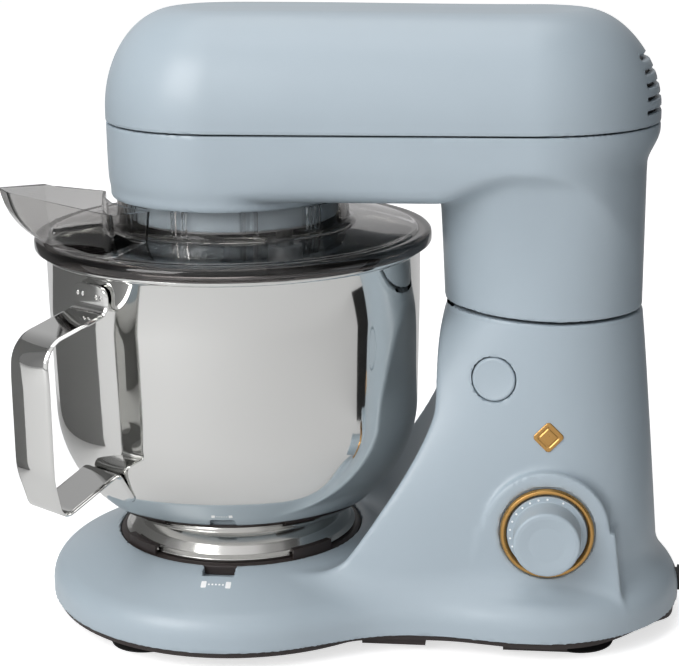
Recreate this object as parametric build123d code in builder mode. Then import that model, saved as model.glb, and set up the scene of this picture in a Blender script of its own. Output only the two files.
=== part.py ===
"""Tilt-head stand mixer with a steel bowl, a splash shield and a planetary drive.

Frame: millimetres, +Z up, z = 0 on the counter, y = 0 the symmetry plane of the body,
-Y the side with the dial, -X the side with the bowl. Each physical piece is its own STEP.
"""
from build123d import *
from math import cos, radians, sin
import os

os.makedirs("parts", exist_ok=True)

# ---- driving dimensions -------------------------------------------------------------
BOWL_X = -61.0          # bowl axis, planetary axis and the centre of the base's front lobe
COLUMN_X = 119.0        # centre of the column's top and of the neck
WALL = 3.0              # castings and mouldings
PLATE_BOTTOM, SHELL_BOTTOM = 8.5, 12.0
SHOULDER_Z, BASE_TOP_Z = 28.0, 49.0
LOBE_R, REAR_X = 114.0, 201.0
RECESS_R, RECESS_Z = 73.0, 42.0
SEAM_LOW, SEAM_HIGH = 186.4, 188.6      # the head lifts off the column between these
COLUMN_RX, COLUMN_RY = 56.5, 51.8
UNDERSIDE_Z, NOSE_Z, COVER_Z, HEAD_TOP_Z = 255.4, 250.8, 293.5, 357.0
HEAD_R = 71.5           # both ends of the head in plan
HEAD_REAR_X = 111.0     # centre of the head's rear end
REAR_REACH = 64.6       # the rear end is drawn in to this under the seam, to meet the neck
REAR_LOW, REAR_HIGH = 272.0, 287.0      # between these it widens to the full radius
COVER_ROUND = 44.0      # how far the cover's round shoulder reaches in from the side
COLLAR_R, COLLAR_Z = 61.3, 238.2
TILT_X, TILT_Z = 164.0, 225.0
BRACKET_SCREWS = ((112, 14), (112, -14), (132, 14), (132, -14))
BOWL_R, BOWL_TOP_Z, BOWL_WALL = 110.0, 221.0, 1.2
CORNER_R, CORNER_X, CORNER_Z = 71.0, 36.0, 128.0
FOOT_R, FOOT_Z = 67.2, 48.4
HANDLE_DEG = 234.5
DIAL_X, DIAL_Z, DIAL_Y = 123.4, 70.3, -64.0
BUTTON_X, BUTTON_Z = 92.4, 155.0
GLAND_X, GLAND_Z = 203.0, 20.5          # outer end of the cord gland, low in the rear wall
CHUTE_DEG, CHUTE_HALF = 213.0, 30.0
MODULE, RING_TEETH, PLANET_TEETH = 1.5, 60, 20
TOOL_OFFSET = MODULE * (RING_TEETH - PLANET_TEETH) / 2
TOOL_X = BOWL_X + TOOL_OFFSET
MOTOR_X = 92.0
RUN = 0.05              # radial clearance of a running fit
GAP = 0.3               # between pieces that only stand next to each other


def finish(part, label):
    """Label one finished piece and write its STEP file."""
    part.part.label = label
    export_step(part.part, f"parts/{label}.step")


def outline(lobe_r, lobe_end, side_points):
    """Closed plan outline, an arc about the bowl axis and a spline, mirrored in y = 0."""
    with BuildLine() as line:
        lobe = CenterArc((BOWL_X, 0), lobe_r, 180, lobe_end - 180)
        Spline(lobe @ 1, *side_points, tangents=[lobe % 1, (0, -1)])
        mirror(about=Plane.XZ)
    make_face(line.edges())


def section(*points):
    """Closed plan section of the pedestal, a spline mirrored in y = 0."""
    with BuildLine() as line:
        Spline(*points, tangents=[(0, 1), (0, -1)])
        mirror(about=Plane.XZ)
    make_face(line.edges())


def ring(outer, inner):
    """Annulus in the current sketch."""
    Circle(outer)
    Circle(inner, mode=Mode.SUBTRACT)


def head_plan(inset):
    """Plan of the head below the seam, moved inwards by inset, with the rear end drawn in."""
    with Locations((BOWL_X, 0)):
        Circle(HEAD_R - inset)
    with Locations(((BOWL_X + HEAD_REAR_X) / 2, 0)):
        Rectangle(HEAD_REAR_X - BOWL_X, 2 * (HEAD_R - inset))
    with Locations((HEAD_REAR_X, 0)):
        Ellipse(REAR_REACH - inset, HEAD_R - inset)


def tray_block(inset, low, high, mode):
    """The lower housing as a block, whose rear end widens just under the seam."""
    with BuildSketch(Plane.XY.offset(low)) as plan:
        head_plan(inset)
    extrude(plan.sketch, amount=high - low, mode=mode)
    with BuildSketch(Plane.XY.offset(REAR_LOW)) as narrow:
        with Locations((HEAD_REAR_X, 0)):
            Ellipse(REAR_REACH - inset, HEAD_R - inset)
    with BuildSketch(Plane.XY.offset(REAR_HIGH)) as wide:
        with Locations((HEAD_REAR_X, 0)):
            Circle(HEAD_R - inset)
    loft(sections=[narrow.sketch, wide.sketch], ruled=True, mode=mode)
    extrude(wide.sketch, amount=high - REAR_HIGH, mode=mode)


def cover_dome(inset, low, mode):
    """The head's top cover: two turned ends and the stretch between them."""
    side = HEAD_R - inset
    top = HEAD_TOP_Z - inset
    flat = HEAD_R - COVER_ROUND
    rise = top - COVER_Z - 6.0

    def half():
        with BuildLine() as line:
            Line((0, low), (side, low))
            Line((side, low), (side, top - rise))
            EllipticalCenterArc((flat, top - rise), side - flat, rise, start_angle=0, arc_size=90)
            Line((flat, top), (0, top))
            Line((0, top), (0, low))
        make_face(line.edges())

    for end_x in (BOWL_X, HEAD_REAR_X):
        with BuildSketch(Plane.XZ.shift_origin((end_x, 0, 0))) as end:
            half()
        revolve(end.sketch, axis=Axis((end_x, 0, 0), (0, 0, 1)), mode=mode)
    with BuildSketch(Plane.YZ.offset(BOWL_X)) as middle:
        half()
        mirror(about=Plane.YZ)
    extrude(middle.sketch, amount=HEAD_REAR_X - BOWL_X, mode=mode)


def toothed(teeth, outer_r, root_r, tip_r, turn=0.0):
    """Gear outline: a disc with straight-sided teeth, or tooth spaces if tip_r is larger."""
    pitch = 360 / teeth
    Circle(outer_r)
    for number in range(teeth):
        points = []
        for radius, share in ((root_r, -0.34), (tip_r, -0.13), (tip_r, 0.13), (root_r, 0.34)):
            angle = radians(turn + (number + share) * pitch)
            points.append((radius * cos(angle), radius * sin(angle)))
        Polygon(*points, align=None)


BOWL_AXIS = Axis((BOWL_X, 0, 0), (0, 0, 1))
BASE_SIDE = ((40, 80.5), (72, 79.8), (114, 86), (154, 76), (189, 41), (REAR_X, 0))
TOP_SIDE = ((40, 68), (72, 66), (114, 65), (150, 57), (177, 32), (187, 0))

# ---- base ----------------------------------------------------------------------------
with BuildPart() as base_shell:
    with BuildSketch(Plane.XY.offset(36)):
        section((-60, 0), (-46, 68), (-20, 80), (60, 71), (120, 66), (158, 55), (181, 32), (188.5, 0))
    with BuildSketch(Plane.XY.offset(72)):
        section((-32, 0), (-16, 60), (13, 71.5), (70, 64), (120, 61), (155, 51), (178, 30), (185.8, 0))
    with BuildSketch(Plane.XY.offset(110)):
        section((8, 0), (20, 46), (46, 61), (86, 60), (120, 58), (152, 48), (174, 28), (182.4, 0))
    with BuildSketch(Plane.XY.offset(150)):
        section((45, 0), (50, 36), (62, 48), (92, 54), (120, 54.5), (150, 45.5), (171, 26), (178.8, 0))
    with BuildSketch(Plane.XY.offset(SEAM_LOW)):
        section((62.5, 0), (68, 22), (79.5, 36.5), (97, 47.4), (119, 51.8), (147, 45), (168, 26), (175.5, 0))
    loft()
    # the concave front follows the bowl
    with BuildSketch(Plane.XZ.shift_origin((BOWL_X, 0, 0))):
        with BuildLine():
            bay = Spline((89, 36), (103.6, 71.5), (118.6, 101), (127.3, 135), (123.2, 190))
            Polyline(bay @ 1, (0, 190), (0, 36), bay @ 0)
        make_face()
    revolve(axis=BOWL_AXIS, mode=Mode.SUBTRACT)
    with BuildSketch(Plane.XY.offset(SHELL_BOTTOM)):
        outline(LOBE_R, 50, BASE_SIDE)
    extrude(amount=SHOULDER_Z - SHELL_BOTTOM)
    with BuildSketch(Plane.XY.offset(SHOULDER_Z)):
        outline(LOBE_R, 50, BASE_SIDE)
    with BuildSketch(Plane.XY.offset(BASE_TOP_Z)):
        outline(RECESS_R + 2, 58, TOP_SIDE)
    loft()
    with BuildSketch(Plane.XZ.offset(50)):
        with Locations((DIAL_X, DIAL_Z)):
            Circle(35)
        with Locations((DIAL_X, (DIAL_Z + SHOULDER_Z) / 2)):
            Trapezoid(76, DIAL_Z - SHOULDER_Z, 86)
    extrude(amount=-DIAL_Y - 50)
    with Locations((BOWL_X, 0, RECESS_Z)):
        Cylinder(RECESS_R, 40, align=(Align.CENTER, Align.CENTER, Align.MIN), mode=Mode.SUBTRACT)
    with Locations((BOWL_X, -RECESS_R - 2, RECESS_Z)):
        Box(18, 12, 40, align=(Align.CENTER, Align.CENTER, Align.MIN), mode=Mode.SUBTRACT)
    # hollow underneath and up through the column
    with BuildSketch(Plane.XY.offset(SHELL_BOTTOM)):
        outline(LOBE_R - 5, 50, [(x - 5 * (x > 180), y * 0.94) for x, y in BASE_SIDE])
    extrude(amount=12, mode=Mode.SUBTRACT)
    with BuildSketch(Plane.XY.offset(SHELL_BOTTOM)):
        outline(LOBE_R - 30, 55, TOP_SIDE)
    extrude(amount=RECESS_Z - 3.5 - SHELL_BOTTOM, mode=Mode.SUBTRACT)
    steps = ((101, 55, 56, 70), (108, 46, 54, 96), (122, 49, 46, SEAM_LOW - WALL))
    for centre_x, radius_x, radius_y, top in steps:
        with BuildSketch(Plane.XY.offset(SHELL_BOTTOM)):
            with Locations((centre_x, 0)):
                Ellipse(radius_x, radius_y)
        extrude(amount=top - SHELL_BOTTOM, mode=Mode.SUBTRACT)
    # striker slot, cable opening and bracket screws in the deck
    with Locations((85, 0, SEAM_LOW - 2)):
        Box(34, 14, 10, mode=Mode.SUBTRACT)
    with Locations((150, 24, SEAM_LOW - 2), (150, -24, SEAM_LOW - 2)):
        Cylinder(5, 10, mode=Mode.SUBTRACT)
    for spot in BRACKET_SCREWS:
        with Locations((*spot, SEAM_LOW - 2)):
            Cylinder(2.5, 10, mode=Mode.SUBTRACT)
    # button guide, dial shaft and cord gland go through the walls
    with BuildSketch(Plane.XZ.offset(70)):
        with Locations((BUTTON_X, BUTTON_Z)):
            Circle(12.5)
    extrude(amount=-45, mode=Mode.SUBTRACT)
    with BuildSketch(Plane.XZ.offset(-DIAL_Y)):
        with Locations((DIAL_X, DIAL_Z)):
            Circle(27.2)
    extrude(amount=20, mode=Mode.SUBTRACT)
    with BuildSketch(Plane.XZ.offset(70)):
        with Locations((DIAL_X, DIAL_Z)):
            Circle(6)
    extrude(amount=-30, mode=Mode.SUBTRACT)
    with BuildSketch(Plane.YZ.offset(GLAND_X - 15)):
        with Locations((0, GLAND_Z)):
            Circle(6.1)
    extrude(amount=25, mode=Mode.SUBTRACT)
finish(base_shell, "base_shell")

with BuildPart() as base_plate:
    with BuildSketch(Plane.XY.offset(PLATE_BOTTOM)):
        outline(LOBE_R - 2.5, 50, [(x - 2.5 * (x > 180), y * 0.97) for x, y in BASE_SIDE])
    extrude(amount=SHELL_BOTTOM - PLATE_BOTTOM)
    # stiffening pads between the feet
    with BuildSketch(Plane.XY.offset(PLATE_BOTTOM)):
        with Locations((-50, 84), (-50, -84), (38, 68), (38, -68), (118, 70), (118, -70)):
            Rectangle(36, 12)
        with Locations((183, 0)):
            Rectangle(12, 30)
    extrude(amount=-4.5)
    with BuildSketch(Plane.XY.offset(PLATE_BOTTOM)):
        with Locations((-61, 66), (-61, -66), (60, 0), (140, 0)):
            Circle(2.3)
    extrude(amount=5, mode=Mode.SUBTRACT)
finish(base_plate, "base_plate")

FOOT_SPOTS = [(-106, 70), (-106, -70), (-10, 50), (-10, -50), (142, 48), (142, -48)]
with BuildPart() as suction_feet:
    with BuildSketch(Plane.XZ) as foot:
        with BuildLine():
            Polyline((0, 3), (14, 0.9), (15, 0), (20, 0), (20.5, 1.2), (13, 4.5), (11, PLATE_BOTTOM),
                     (0, PLATE_BOTTOM), close=True)
        make_face()
    for spot_x, spot_y in FOOT_SPOTS:
        add(Pos(spot_x, spot_y, 0) * revolve(foot.sketch, axis=Axis.Z, mode=Mode.PRIVATE))
finish(suction_feet, "suction_feet")

with BuildPart() as base_screws:
    for spot_x, spot_y in ((-61, 66), (-61, -66), (60, 0), (140, 0)):
        with Locations((spot_x, spot_y, PLATE_BOTTOM)):
            Cylinder(2.2, 6, align=(Align.CENTER, Align.CENTER, Align.MIN))
        with Locations((spot_x, spot_y, PLATE_BOTTOM)):
            Cylinder(4, 2, align=(Align.CENTER, Align.CENTER, Align.MAX))
finish(base_screws, "base_screws")

SEAT_TOP = FOOT_Z - GAP
with BuildPart() as bowl_seat_ring:
    with BuildSketch(Plane.XY.offset(RECESS_Z)):
        with Locations((BOWL_X, 0)):
            Circle(RECESS_R - 0.4)
            Circle(30, mode=Mode.SUBTRACT)
    extrude(amount=SEAT_TOP - RECESS_Z)
    # four hooks that hold the bowl's lugs down
    with BuildSketch(Plane.XZ.shift_origin((BOWL_X, 0, 0))) as hook:
        with BuildLine():
            Polyline((70.8, SEAT_TOP - 1), (72.2, SEAT_TOP - 1), (72.2, 53.5), (68, 53.5), (68, 51.5),
                     (70.8, 51.5), close=True)
        make_face()
    for turn in range(4):
        bent = revolve(hook.sketch, axis=BOWL_AXIS, revolution_arc=22, mode=Mode.PRIVATE)
        add(bent.rotate(BOWL_AXIS, 34 + 90 * turn))
finish(bowl_seat_ring, "bowl_seat_ring")

# ---- bowl ----------------------------------------------------------------------------
def bowl_profile(inset):
    """Half section of the bowl, moved inwards by inset."""
    corner = CORNER_R - inset
    with BuildLine() as line:
        floor_z = CORNER_Z - corner
        Line((0, floor_z), (CORNER_X, floor_z))
        CenterArc((CORNER_X, CORNER_Z), corner, -90, 90)
        Line((CORNER_X + corner, CORNER_Z), (BOWL_R - inset, BOWL_TOP_Z + 4 * (inset > 0)))
        Line((BOWL_R - inset, BOWL_TOP_Z + 4 * (inset > 0)), (0, BOWL_TOP_Z + 4 * (inset > 0)))
        Line((0, BOWL_TOP_Z + 4 * (inset > 0)), (0, floor_z))
    make_face(line.edges())


with BuildPart() as bowl:
    with BuildSketch(Plane.XZ.shift_origin((BOWL_X, 0, 0))):
        bowl_profile(0)
    revolve(axis=BOWL_AXIS)
    with BuildSketch(Plane.XZ.shift_origin((BOWL_X, 0, 0))):
        with Locations((BOWL_R - 0.2, BOWL_TOP_Z)):
            Circle(1.8)
    revolve(axis=BOWL_AXIS)
    with BuildSketch(Plane.XZ.shift_origin((BOWL_X, 0, 0))):
        bowl_profile(BOWL_WALL)
    revolve(axis=BOWL_AXIS, mode=Mode.SUBTRACT)
finish(bowl, "bowl")

with BuildPart() as bowl_foot_ring:
    with BuildSketch(Plane.XZ.shift_origin((BOWL_X, 0, 0))):
        with BuildLine():
            Polyline((FOOT_R - 1.2, FOOT_Z), (FOOT_R, FOOT_Z), (FOOT_R, 60.5), (57.5, 61.9), (57.5, 60.7),
                     (FOOT_R - 1.2, 59.3), close=True)
        make_face()
    revolve(axis=BOWL_AXIS)
    with BuildSketch(Plane.XZ.shift_origin((BOWL_X, 0, 0))) as lug:
        with Locations((FOOT_R + 1.2, 50)):
            Rectangle(3, 1.6)
    for turn in range(4):
        bent = revolve(lug.sketch, axis=BOWL_AXIS, revolution_arc=20, mode=Mode.PRIVATE)
        add(bent.rotate(BOWL_AXIS, 35 + 90 * turn))
finish(bowl_foot_ring, "bowl_foot_ring")

HANDLE_PLANE = Plane(origin=(BOWL_X, 0, 0), x_dir=(cos(radians(HANDLE_DEG)), sin(radians(HANDLE_DEG)), 0),
                     z_dir=(sin(radians(HANDLE_DEG)), -cos(radians(HANDLE_DEG)), 0))
with BuildPart() as bowl_handle:
    with BuildSketch(HANDLE_PLANE):
        with BuildLine():
            strip = FilletPolyline((111.2, 214), (111.2, 200), (153.5, 189), (153.5, 118), (147.5, 94),
                                   (104, 110), (97, 94.5), radius=(3, 12, 40, 5, 3))
            offset(strip, amount=1.3, side=Side.BOTH, closed=True)
        make_face()
    extrude(amount=15, both=True)
finish(bowl_handle, "bowl_handle")

# ---- controls in the base ------------------------------------------------------------
FACE = Plane.XZ.offset(-DIAL_Y)             # the flat boss around the dial, facing -Y
with BuildPart() as dial_bezel:
    with BuildSketch(FACE):
        with Locations((DIAL_X, DIAL_Z)):
            ring(26.3, 22.6)
    extrude(amount=3.2)
    fillet(dial_bezel.faces().sort_by(Axis.Y)[0].edges(), 0.9)
finish(dial_bezel, "dial_bezel")

with BuildPart() as dial_knob:
    with BuildSketch(FACE.offset(0.6)):
        with Locations((DIAL_X, DIAL_Z)):
            Circle(22.2)
    extrude(amount=2.6)
    with BuildSketch(FACE.offset(3.2)):
        with Locations((DIAL_X, DIAL_Z)):
            Circle(18.6)
    extrude(amount=16.8, taper=1.5)
    fillet(dial_knob.faces().sort_by(Axis.Y)[0].edges(), 2)
    with BuildSketch(FACE.offset(0.6)):
        with Locations((DIAL_X, DIAL_Z)):
            Circle(3)
    extrude(amount=12, mode=Mode.SUBTRACT)
finish(dial_knob, "dial_knob")

with BuildPart() as dial_shaft:
    with BuildSketch(FACE.offset(12.6)):
        with Locations((DIAL_X, DIAL_Z)):
            Circle(3)
    extrude(amount=-50)
finish(dial_shaft, "dial_shaft")

with BuildPart() as speed_switch:
    with Locations((DIAL_X, -30, DIAL_Z)):
        Box(26, 16, 26)
    with BuildSketch(Plane.XZ.offset(38)):
        with Locations((DIAL_X, DIAL_Z)):
            Circle(5.5)
    extrude(amount=5)
    with BuildSketch(Plane.XZ.offset(50)):
        with Locations((DIAL_X, DIAL_Z)):
            Circle(3 + RUN)
    extrude(amount=-40, mode=Mode.SUBTRACT)
finish(speed_switch, "speed_switch")

with BuildPart() as control_board:
    with Locations((DIAL_X, -12, 88)):
        Box(62, 1.6, 84)
    with Locations((DIAL_X - 18, -8.2, 112), (DIAL_X + 16, -8.2, 112), (DIAL_X + 16, -8.2, 84)):
        Box(12, 6, 16)
finish(control_board, "control_board")

with BuildPart() as badge:
    with BuildSketch(Plane.XZ.offset(56)):
        with Locations((123.3, 123.8)):
            RectangleRounded(13, 13, 2.5, rotation=45)
    extrude(amount=6)
    add(base_shell.part, mode=Mode.SUBTRACT)
    with Locations((123.3, -50, 123.8)):
        Box(30, 13, 30, mode=Mode.SUBTRACT)
finish(badge, "badge")

with BuildPart() as cord_gland:
    for radius, length, mode in ((6, 15, Mode.ADD), (7.5, 1.9, Mode.ADD), (3.6, 15, Mode.SUBTRACT)):
        with BuildSketch(Plane.YZ.offset(GLAND_X)) as disc:
            with Locations((0, GLAND_Z)):
                Circle(radius)
        extrude(disc.sketch, amount=-length, mode=mode)
finish(cord_gland, "cord_gland")

with BuildPart() as release_button:
    with BuildSketch(Plane.XZ.offset(47)):
        with Locations((BUTTON_X, BUTTON_Z)):
            Circle(12.1)
    extrude(amount=9.5)
    fillet(release_button.faces().sort_by(Axis.Y)[0].edges(), 1.4)
    with BuildSketch(Plane.XZ.offset(47)):
        with Locations((BUTTON_X, BUTTON_Z)):
            Circle(4)
    extrude(amount=-22)
finish(release_button, "release_button")

with BuildPart() as latch_slide:
    with Locations((BUTTON_X, -23.5, 162)):
        Box(9, 3, 30)
    with Locations((BUTTON_X, -19.5, 175.5)):
        Box(9, 5, 3)
finish(latch_slide, "latch_slide")

with BuildPart() as release_spring:
    with BuildSketch(Plane.XZ.offset(46.8)):
        with Locations((BUTTON_X, BUTTON_Z)):
            ring(6.4, 5.2)
    extrude(amount=-14.6)
finish(release_spring, "release_spring")

with BuildPart() as latch_guide:
    with Locations((BUTTON_X + 3.6, -30.6, SEAM_LOW - WALL)):
        Box(16, 3, 40, align=(Align.CENTER, Align.CENTER, Align.MAX))
    with BuildSketch(Plane.XZ.offset(40)):
        with Locations((BUTTON_X, BUTTON_Z)):
            Circle(4 + RUN)
    extrude(amount=-20, mode=Mode.SUBTRACT)
finish(latch_guide, "latch_guide")

# ---- tilt hinge ----------------------------------------------------------------------
with BuildPart() as hinge_bracket:
    with Locations((120, 0, SEAM_LOW)):
        Box(36, 40, 4, align=(Align.CENTER, Align.CENTER, Align.MIN))
    with BuildSketch(Plane.XZ):
        with BuildLine():
            Polyline((112, 189), (137, 189), (152, 205), (162, 216), (168, 224), (160, 232), (150, 222),
                     (132, 207), close=True)
        make_face()
        with Locations((TILT_X, TILT_Z)):
            Circle(8)
    extrude(amount=6, both=True)
    for spot in BRACKET_SCREWS:
        with Locations((*spot, 180)):
            Cylinder(2.2, 30, mode=Mode.SUBTRACT)
    with BuildSketch(Plane.XZ.offset(10)):
        with Locations((TILT_X, TILT_Z)):
            Circle(4)
    extrude(amount=-20, mode=Mode.SUBTRACT)
finish(hinge_bracket, "hinge_bracket")

with BuildPart() as bracket_screws:
    for spot in BRACKET_SCREWS:
        with Locations((*spot, SEAM_LOW + 4)):
            Cylinder(3.8, 2.4, align=(Align.CENTER, Align.CENTER, Align.MIN))
        with Locations((*spot, SEAM_LOW + 4)):
            Cylinder(2.2, 9, align=(Align.CENTER, Align.CENTER, Align.MAX))
finish(bracket_screws, "bracket_screws")

with BuildPart() as hinge_pin:
    with BuildSketch(Plane.XZ.offset(14)):
        with Locations((TILT_X, TILT_Z)):
            Circle(4)
    extrude(amount=-28)
finish(hinge_pin, "hinge_pin")

# ---- head ----------------------------------------------------------------------------
with BuildPart() as head_top_cover:
    cover_dome(0, COVER_Z + 0.4, Mode.ADD)
    cover_dome(WALL, COVER_Z - 1, Mode.SUBTRACT)
    # cooling slots in the rear end, shorter towards the top
    for slot in range(5):
        with Locations((HEAD_REAR_X + 60, 0, COVER_Z + 8 + 7 * slot)):
            Box(60, 70 - 3 * slot - 0.6 * slot**2, 2.4, mode=Mode.SUBTRACT)
finish(head_top_cover, "head_top_cover")

with BuildPart() as head_lower_housing:
    tray_block(0, UNDERSIDE_Z, COVER_Z, Mode.ADD)
    with BuildSketch(Plane.XY.offset(NOSE_Z)):
        with Locations((BOWL_X, 0)):
            Circle(HEAD_R - 0.6)
    extrude(amount=UNDERSIDE_Z - NOSE_Z + 1)
    with BuildSketch(Plane.XY.offset(SEAM_HIGH)):
        with Locations((COLUMN_X, 0)):
            Ellipse(COLUMN_RX, COLUMN_RY)
    with BuildSketch(Plane.XY.offset(240)):
        with Locations((COLUMN_X - 0.5, 0)):
            Ellipse(56.8, 54.5)
    with BuildSketch(Plane.XY.offset(272)):
        with Locations((COLUMN_X - 3, 0)):
            Ellipse(59.6, 66)
    loft()
    tray_block(WALL, UNDERSIDE_Z + WALL, COVER_Z + 1, Mode.SUBTRACT)
    with BuildSketch(Plane.XY.offset(SEAM_HIGH - 1)):
        with Locations((COLUMN_X, 0)):
            Ellipse(COLUMN_RX - WALL, COLUMN_RY - WALL)
    extrude(amount=UNDERSIDE_Z - SEAM_HIGH + 6, mode=Mode.SUBTRACT)
    with Locations((BOWL_X, 0, NOSE_Z - 1)):
        Cylinder(17, 12, align=(Align.CENTER, Align.CENTER, Align.MIN), mode=Mode.SUBTRACT)
    with Locations((22, 0, UNDERSIDE_Z - 1), (40, 45, UNDERSIDE_Z - 1), (40, -45, UNDERSIDE_Z - 1)):
        Cylinder(2, 8, align=(Align.CENTER, Align.CENTER, Align.MIN), mode=Mode.SUBTRACT)
finish(head_lower_housing, "head_lower_housing")

with BuildPart() as vent_liner:
    with BuildSketch(Plane.XY.offset(COVER_Z + 2)):
        with Locations((HEAD_REAR_X, 0)):
            ring(62, 60.5)
        with Locations((HEAD_REAR_X - 30, 0)):
            Rectangle(100, 130, mode=Mode.SUBTRACT)
    extrude(amount=30)
finish(vent_liner, "vent_liner")

with BuildPart() as head_frame:
    with BuildSketch(Plane.XY.offset(UNDERSIDE_Z + WALL)):
        head_plan(16)
        with Locations((BOWL_X, 0)):
            Circle(12, mode=Mode.SUBTRACT)
        with Locations((MOTOR_X, 0)):
            Circle(15, mode=Mode.SUBTRACT)
    extrude(amount=4)
    with Locations((BOWL_X, 0, UNDERSIDE_Z - 4.4)):
        Cylinder(16.9, 11.4, align=(Align.CENTER, Align.CENTER, Align.MIN))
    with Locations((BOWL_X, 0, NOSE_Z - 1)):
        Cylinder(12, 16, align=(Align.CENTER, Align.CENTER, Align.MIN), mode=Mode.SUBTRACT)
    # two arms down to the tilt pin
    for side in (-8.6, 8.6):
        with BuildSketch(Plane.XZ.offset(side)):
            with BuildLine():
                Polyline((138, 260), (170, 260), (170, 228), (164, 217), (157, 221), (154, 236), close=True)
            make_face()
            with Locations((TILT_X, TILT_Z)):
                Circle(7)
        extrude(amount=2, both=True)
    with BuildSketch(Plane.XZ.offset(20)):
        with Locations((TILT_X, TILT_Z)):
            Circle(4 + RUN)
    extrude(amount=-40, mode=Mode.SUBTRACT)
    with Locations((22, 0, UNDERSIDE_Z), (40, 45, UNDERSIDE_Z), (40, -45, UNDERSIDE_Z)):
        Cylinder(1.6, 12, align=(Align.CENTER, Align.CENTER, Align.MIN), mode=Mode.SUBTRACT)
finish(head_frame, "head_frame")

with BuildPart() as housing_screws:
    for spot in ((22, 0), (40, 45), (40, -45)):
        with Locations((*spot, UNDERSIDE_Z)):
            Cylinder(1.6, 7, align=(Align.CENTER, Align.CENTER, Align.MIN))
        with Locations((*spot, UNDERSIDE_Z)):
            Cylinder(3.2, 1.6, align=(Align.CENTER, Align.CENTER, Align.MAX))
finish(housing_screws, "housing_screws")

with BuildPart() as latch_striker:
    with Locations((BUTTON_X - 2, 0, 217)):
        Box(10, 10, 84)
    with Locations((BUTTON_X - 2, 0, 176)):
        Box(12, 4, 4, mode=Mode.SUBTRACT)
finish(latch_striker, "latch_striker")

with BuildPart() as collar:
    with BuildSketch(Plane.XY.offset(COLLAR_Z)):
        with Locations((BOWL_X, 0)):
            ring(COLLAR_R, COLLAR_R - 3.5)
    extrude(amount=NOSE_Z - COLLAR_Z)
finish(collar, "collar")

# ---- splash shield and chute -----------------------------------------------------------
with BuildPart() as splash_shield:
    with BuildSketch(Plane.XZ.shift_origin((BOWL_X, 0, 0))):
        with BuildLine():
            Polyline((113.2, 222.4), (115.2, 222.4), (115.2, 228), (113.8, 229.6), (104, 230.6), (86, 233.4),
                     (68, 235), (66.6, 250.2), (64.8, 250.2), (65.8, 233.2), (85, 231.4), (103, 228.6),
                     (109, 227), (109, 224), (113.2, 224), close=True)
        make_face()
    revolve(axis=BOWL_AXIS)
    # way in under the chute
    with BuildSketch(Plane.XY.offset(222)):
        with BuildLine():
            corners = []
            for radius, turn in ((73, -24), (104, -24), (104, 24), (73, 24)):
                angle = radians(CHUTE_DEG + turn)
                corners.append((BOWL_X + radius * cos(angle), radius * sin(angle)))
            Polyline(*corners, close=True)
        make_face()
    extrude(amount=20, mode=Mode.SUBTRACT)
    for slot in range(10):
        with Locations(Pos(BOWL_X, 0, 243) * Rot(0, 0, 36 * slot) * Pos(66, 0, 0)):
            Box(6, 2.2, 12, mode=Mode.SUBTRACT)
finish(splash_shield, "splash_shield")


def chute_loop(inset, reach, tip, spread):
    """Plan of the chute at one height: two inner corners, two outer corners and the lip."""
    inner = [(74 + inset, turn * (spread - inset) / 2) for turn in (2, 1, 0, -1, -2)]
    corners = inner + [(reach - inset, inset - CHUTE_HALF), (tip - inset, -4), (tip - inset, 4),
                       (reach - inset, CHUTE_HALF - inset)]
    points = []
    for radius, turn in corners:
        angle = radians(CHUTE_DEG + turn)
        points.append((BOWL_X + radius * cos(angle), radius * sin(angle)))
    Polygon(*points, align=None)


with BuildPart() as pouring_chute:
    for inset, low, high, mode in ((0, 236, 268, Mode.ADD), (2, 235, 269, Mode.SUBTRACT)):
        with BuildSketch(Plane.XY.offset(low)) as bottom:
            chute_loop(inset, 104, 112, 28)
        with BuildSketch(Plane.XY.offset(high)) as top:
            chute_loop(inset, 110, 140, 30)
        loft(sections=[bottom.sketch, top.sketch], ruled=True, mode=mode)
    # the rim slopes up towards the lip
    lean = radians(CHUTE_DEG)
    with BuildSketch(Plane(origin=(BOWL_X, 0, 251), x_dir=(cos(lean), sin(lean), 0),
                           z_dir=(sin(lean), -cos(lean), 0))) as above_rim:
        Polygon((70, -1), (106, 3), (150, 17), (150, 40), (60, 40), (60, -1), align=None)
    extrude(above_rim.sketch, amount=120, both=True, mode=Mode.SUBTRACT)
finish(pouring_chute, "pouring_chute")

# ---- motor and belt ---------------------------------------------------------------------
SHAFT_BOTTOM, PULLEY_Z, PULLEY_H = 263.5, 264.5, 12.0
DRIVEN_R, DRIVE_R, BELT_T = 45.0, 10.0, 1.6
with BuildPart() as motor_can:
    with Locations((MOTOR_X, 0, 280)):
        Cylinder(40, 60, align=(Align.CENTER, Align.CENTER, Align.MIN))
    with Locations((MOTOR_X, 0, 283)):
        Cylinder(37.5, 54, align=(Align.CENTER, Align.CENTER, Align.MIN), mode=Mode.SUBTRACT)
    with Locations((MOTOR_X, 0, 300)):
        Cylinder(4 + RUN, 90, mode=Mode.SUBTRACT)
finish(motor_can, "motor_can")

with BuildPart() as motor_stator:
    with BuildSketch(Plane.XY.offset(290)):
        with Locations((MOTOR_X, 0)):
            ring(37.5, 25)
    extrude(amount=38)
finish(motor_stator, "motor_stator")

with BuildPart() as motor_mounts:
    for spot in ((MOTOR_X - 30, 34), (MOTOR_X - 30, -34), (MOTOR_X + 30, 34), (MOTOR_X + 30, -34)):
        with Locations((*spot, UNDERSIDE_Z + WALL + 4)):
            Cylinder(4.5, 280 - UNDERSIDE_Z - WALL - 4, align=(Align.CENTER, Align.CENTER, Align.MIN))
finish(motor_mounts, "motor_mounts")

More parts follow.
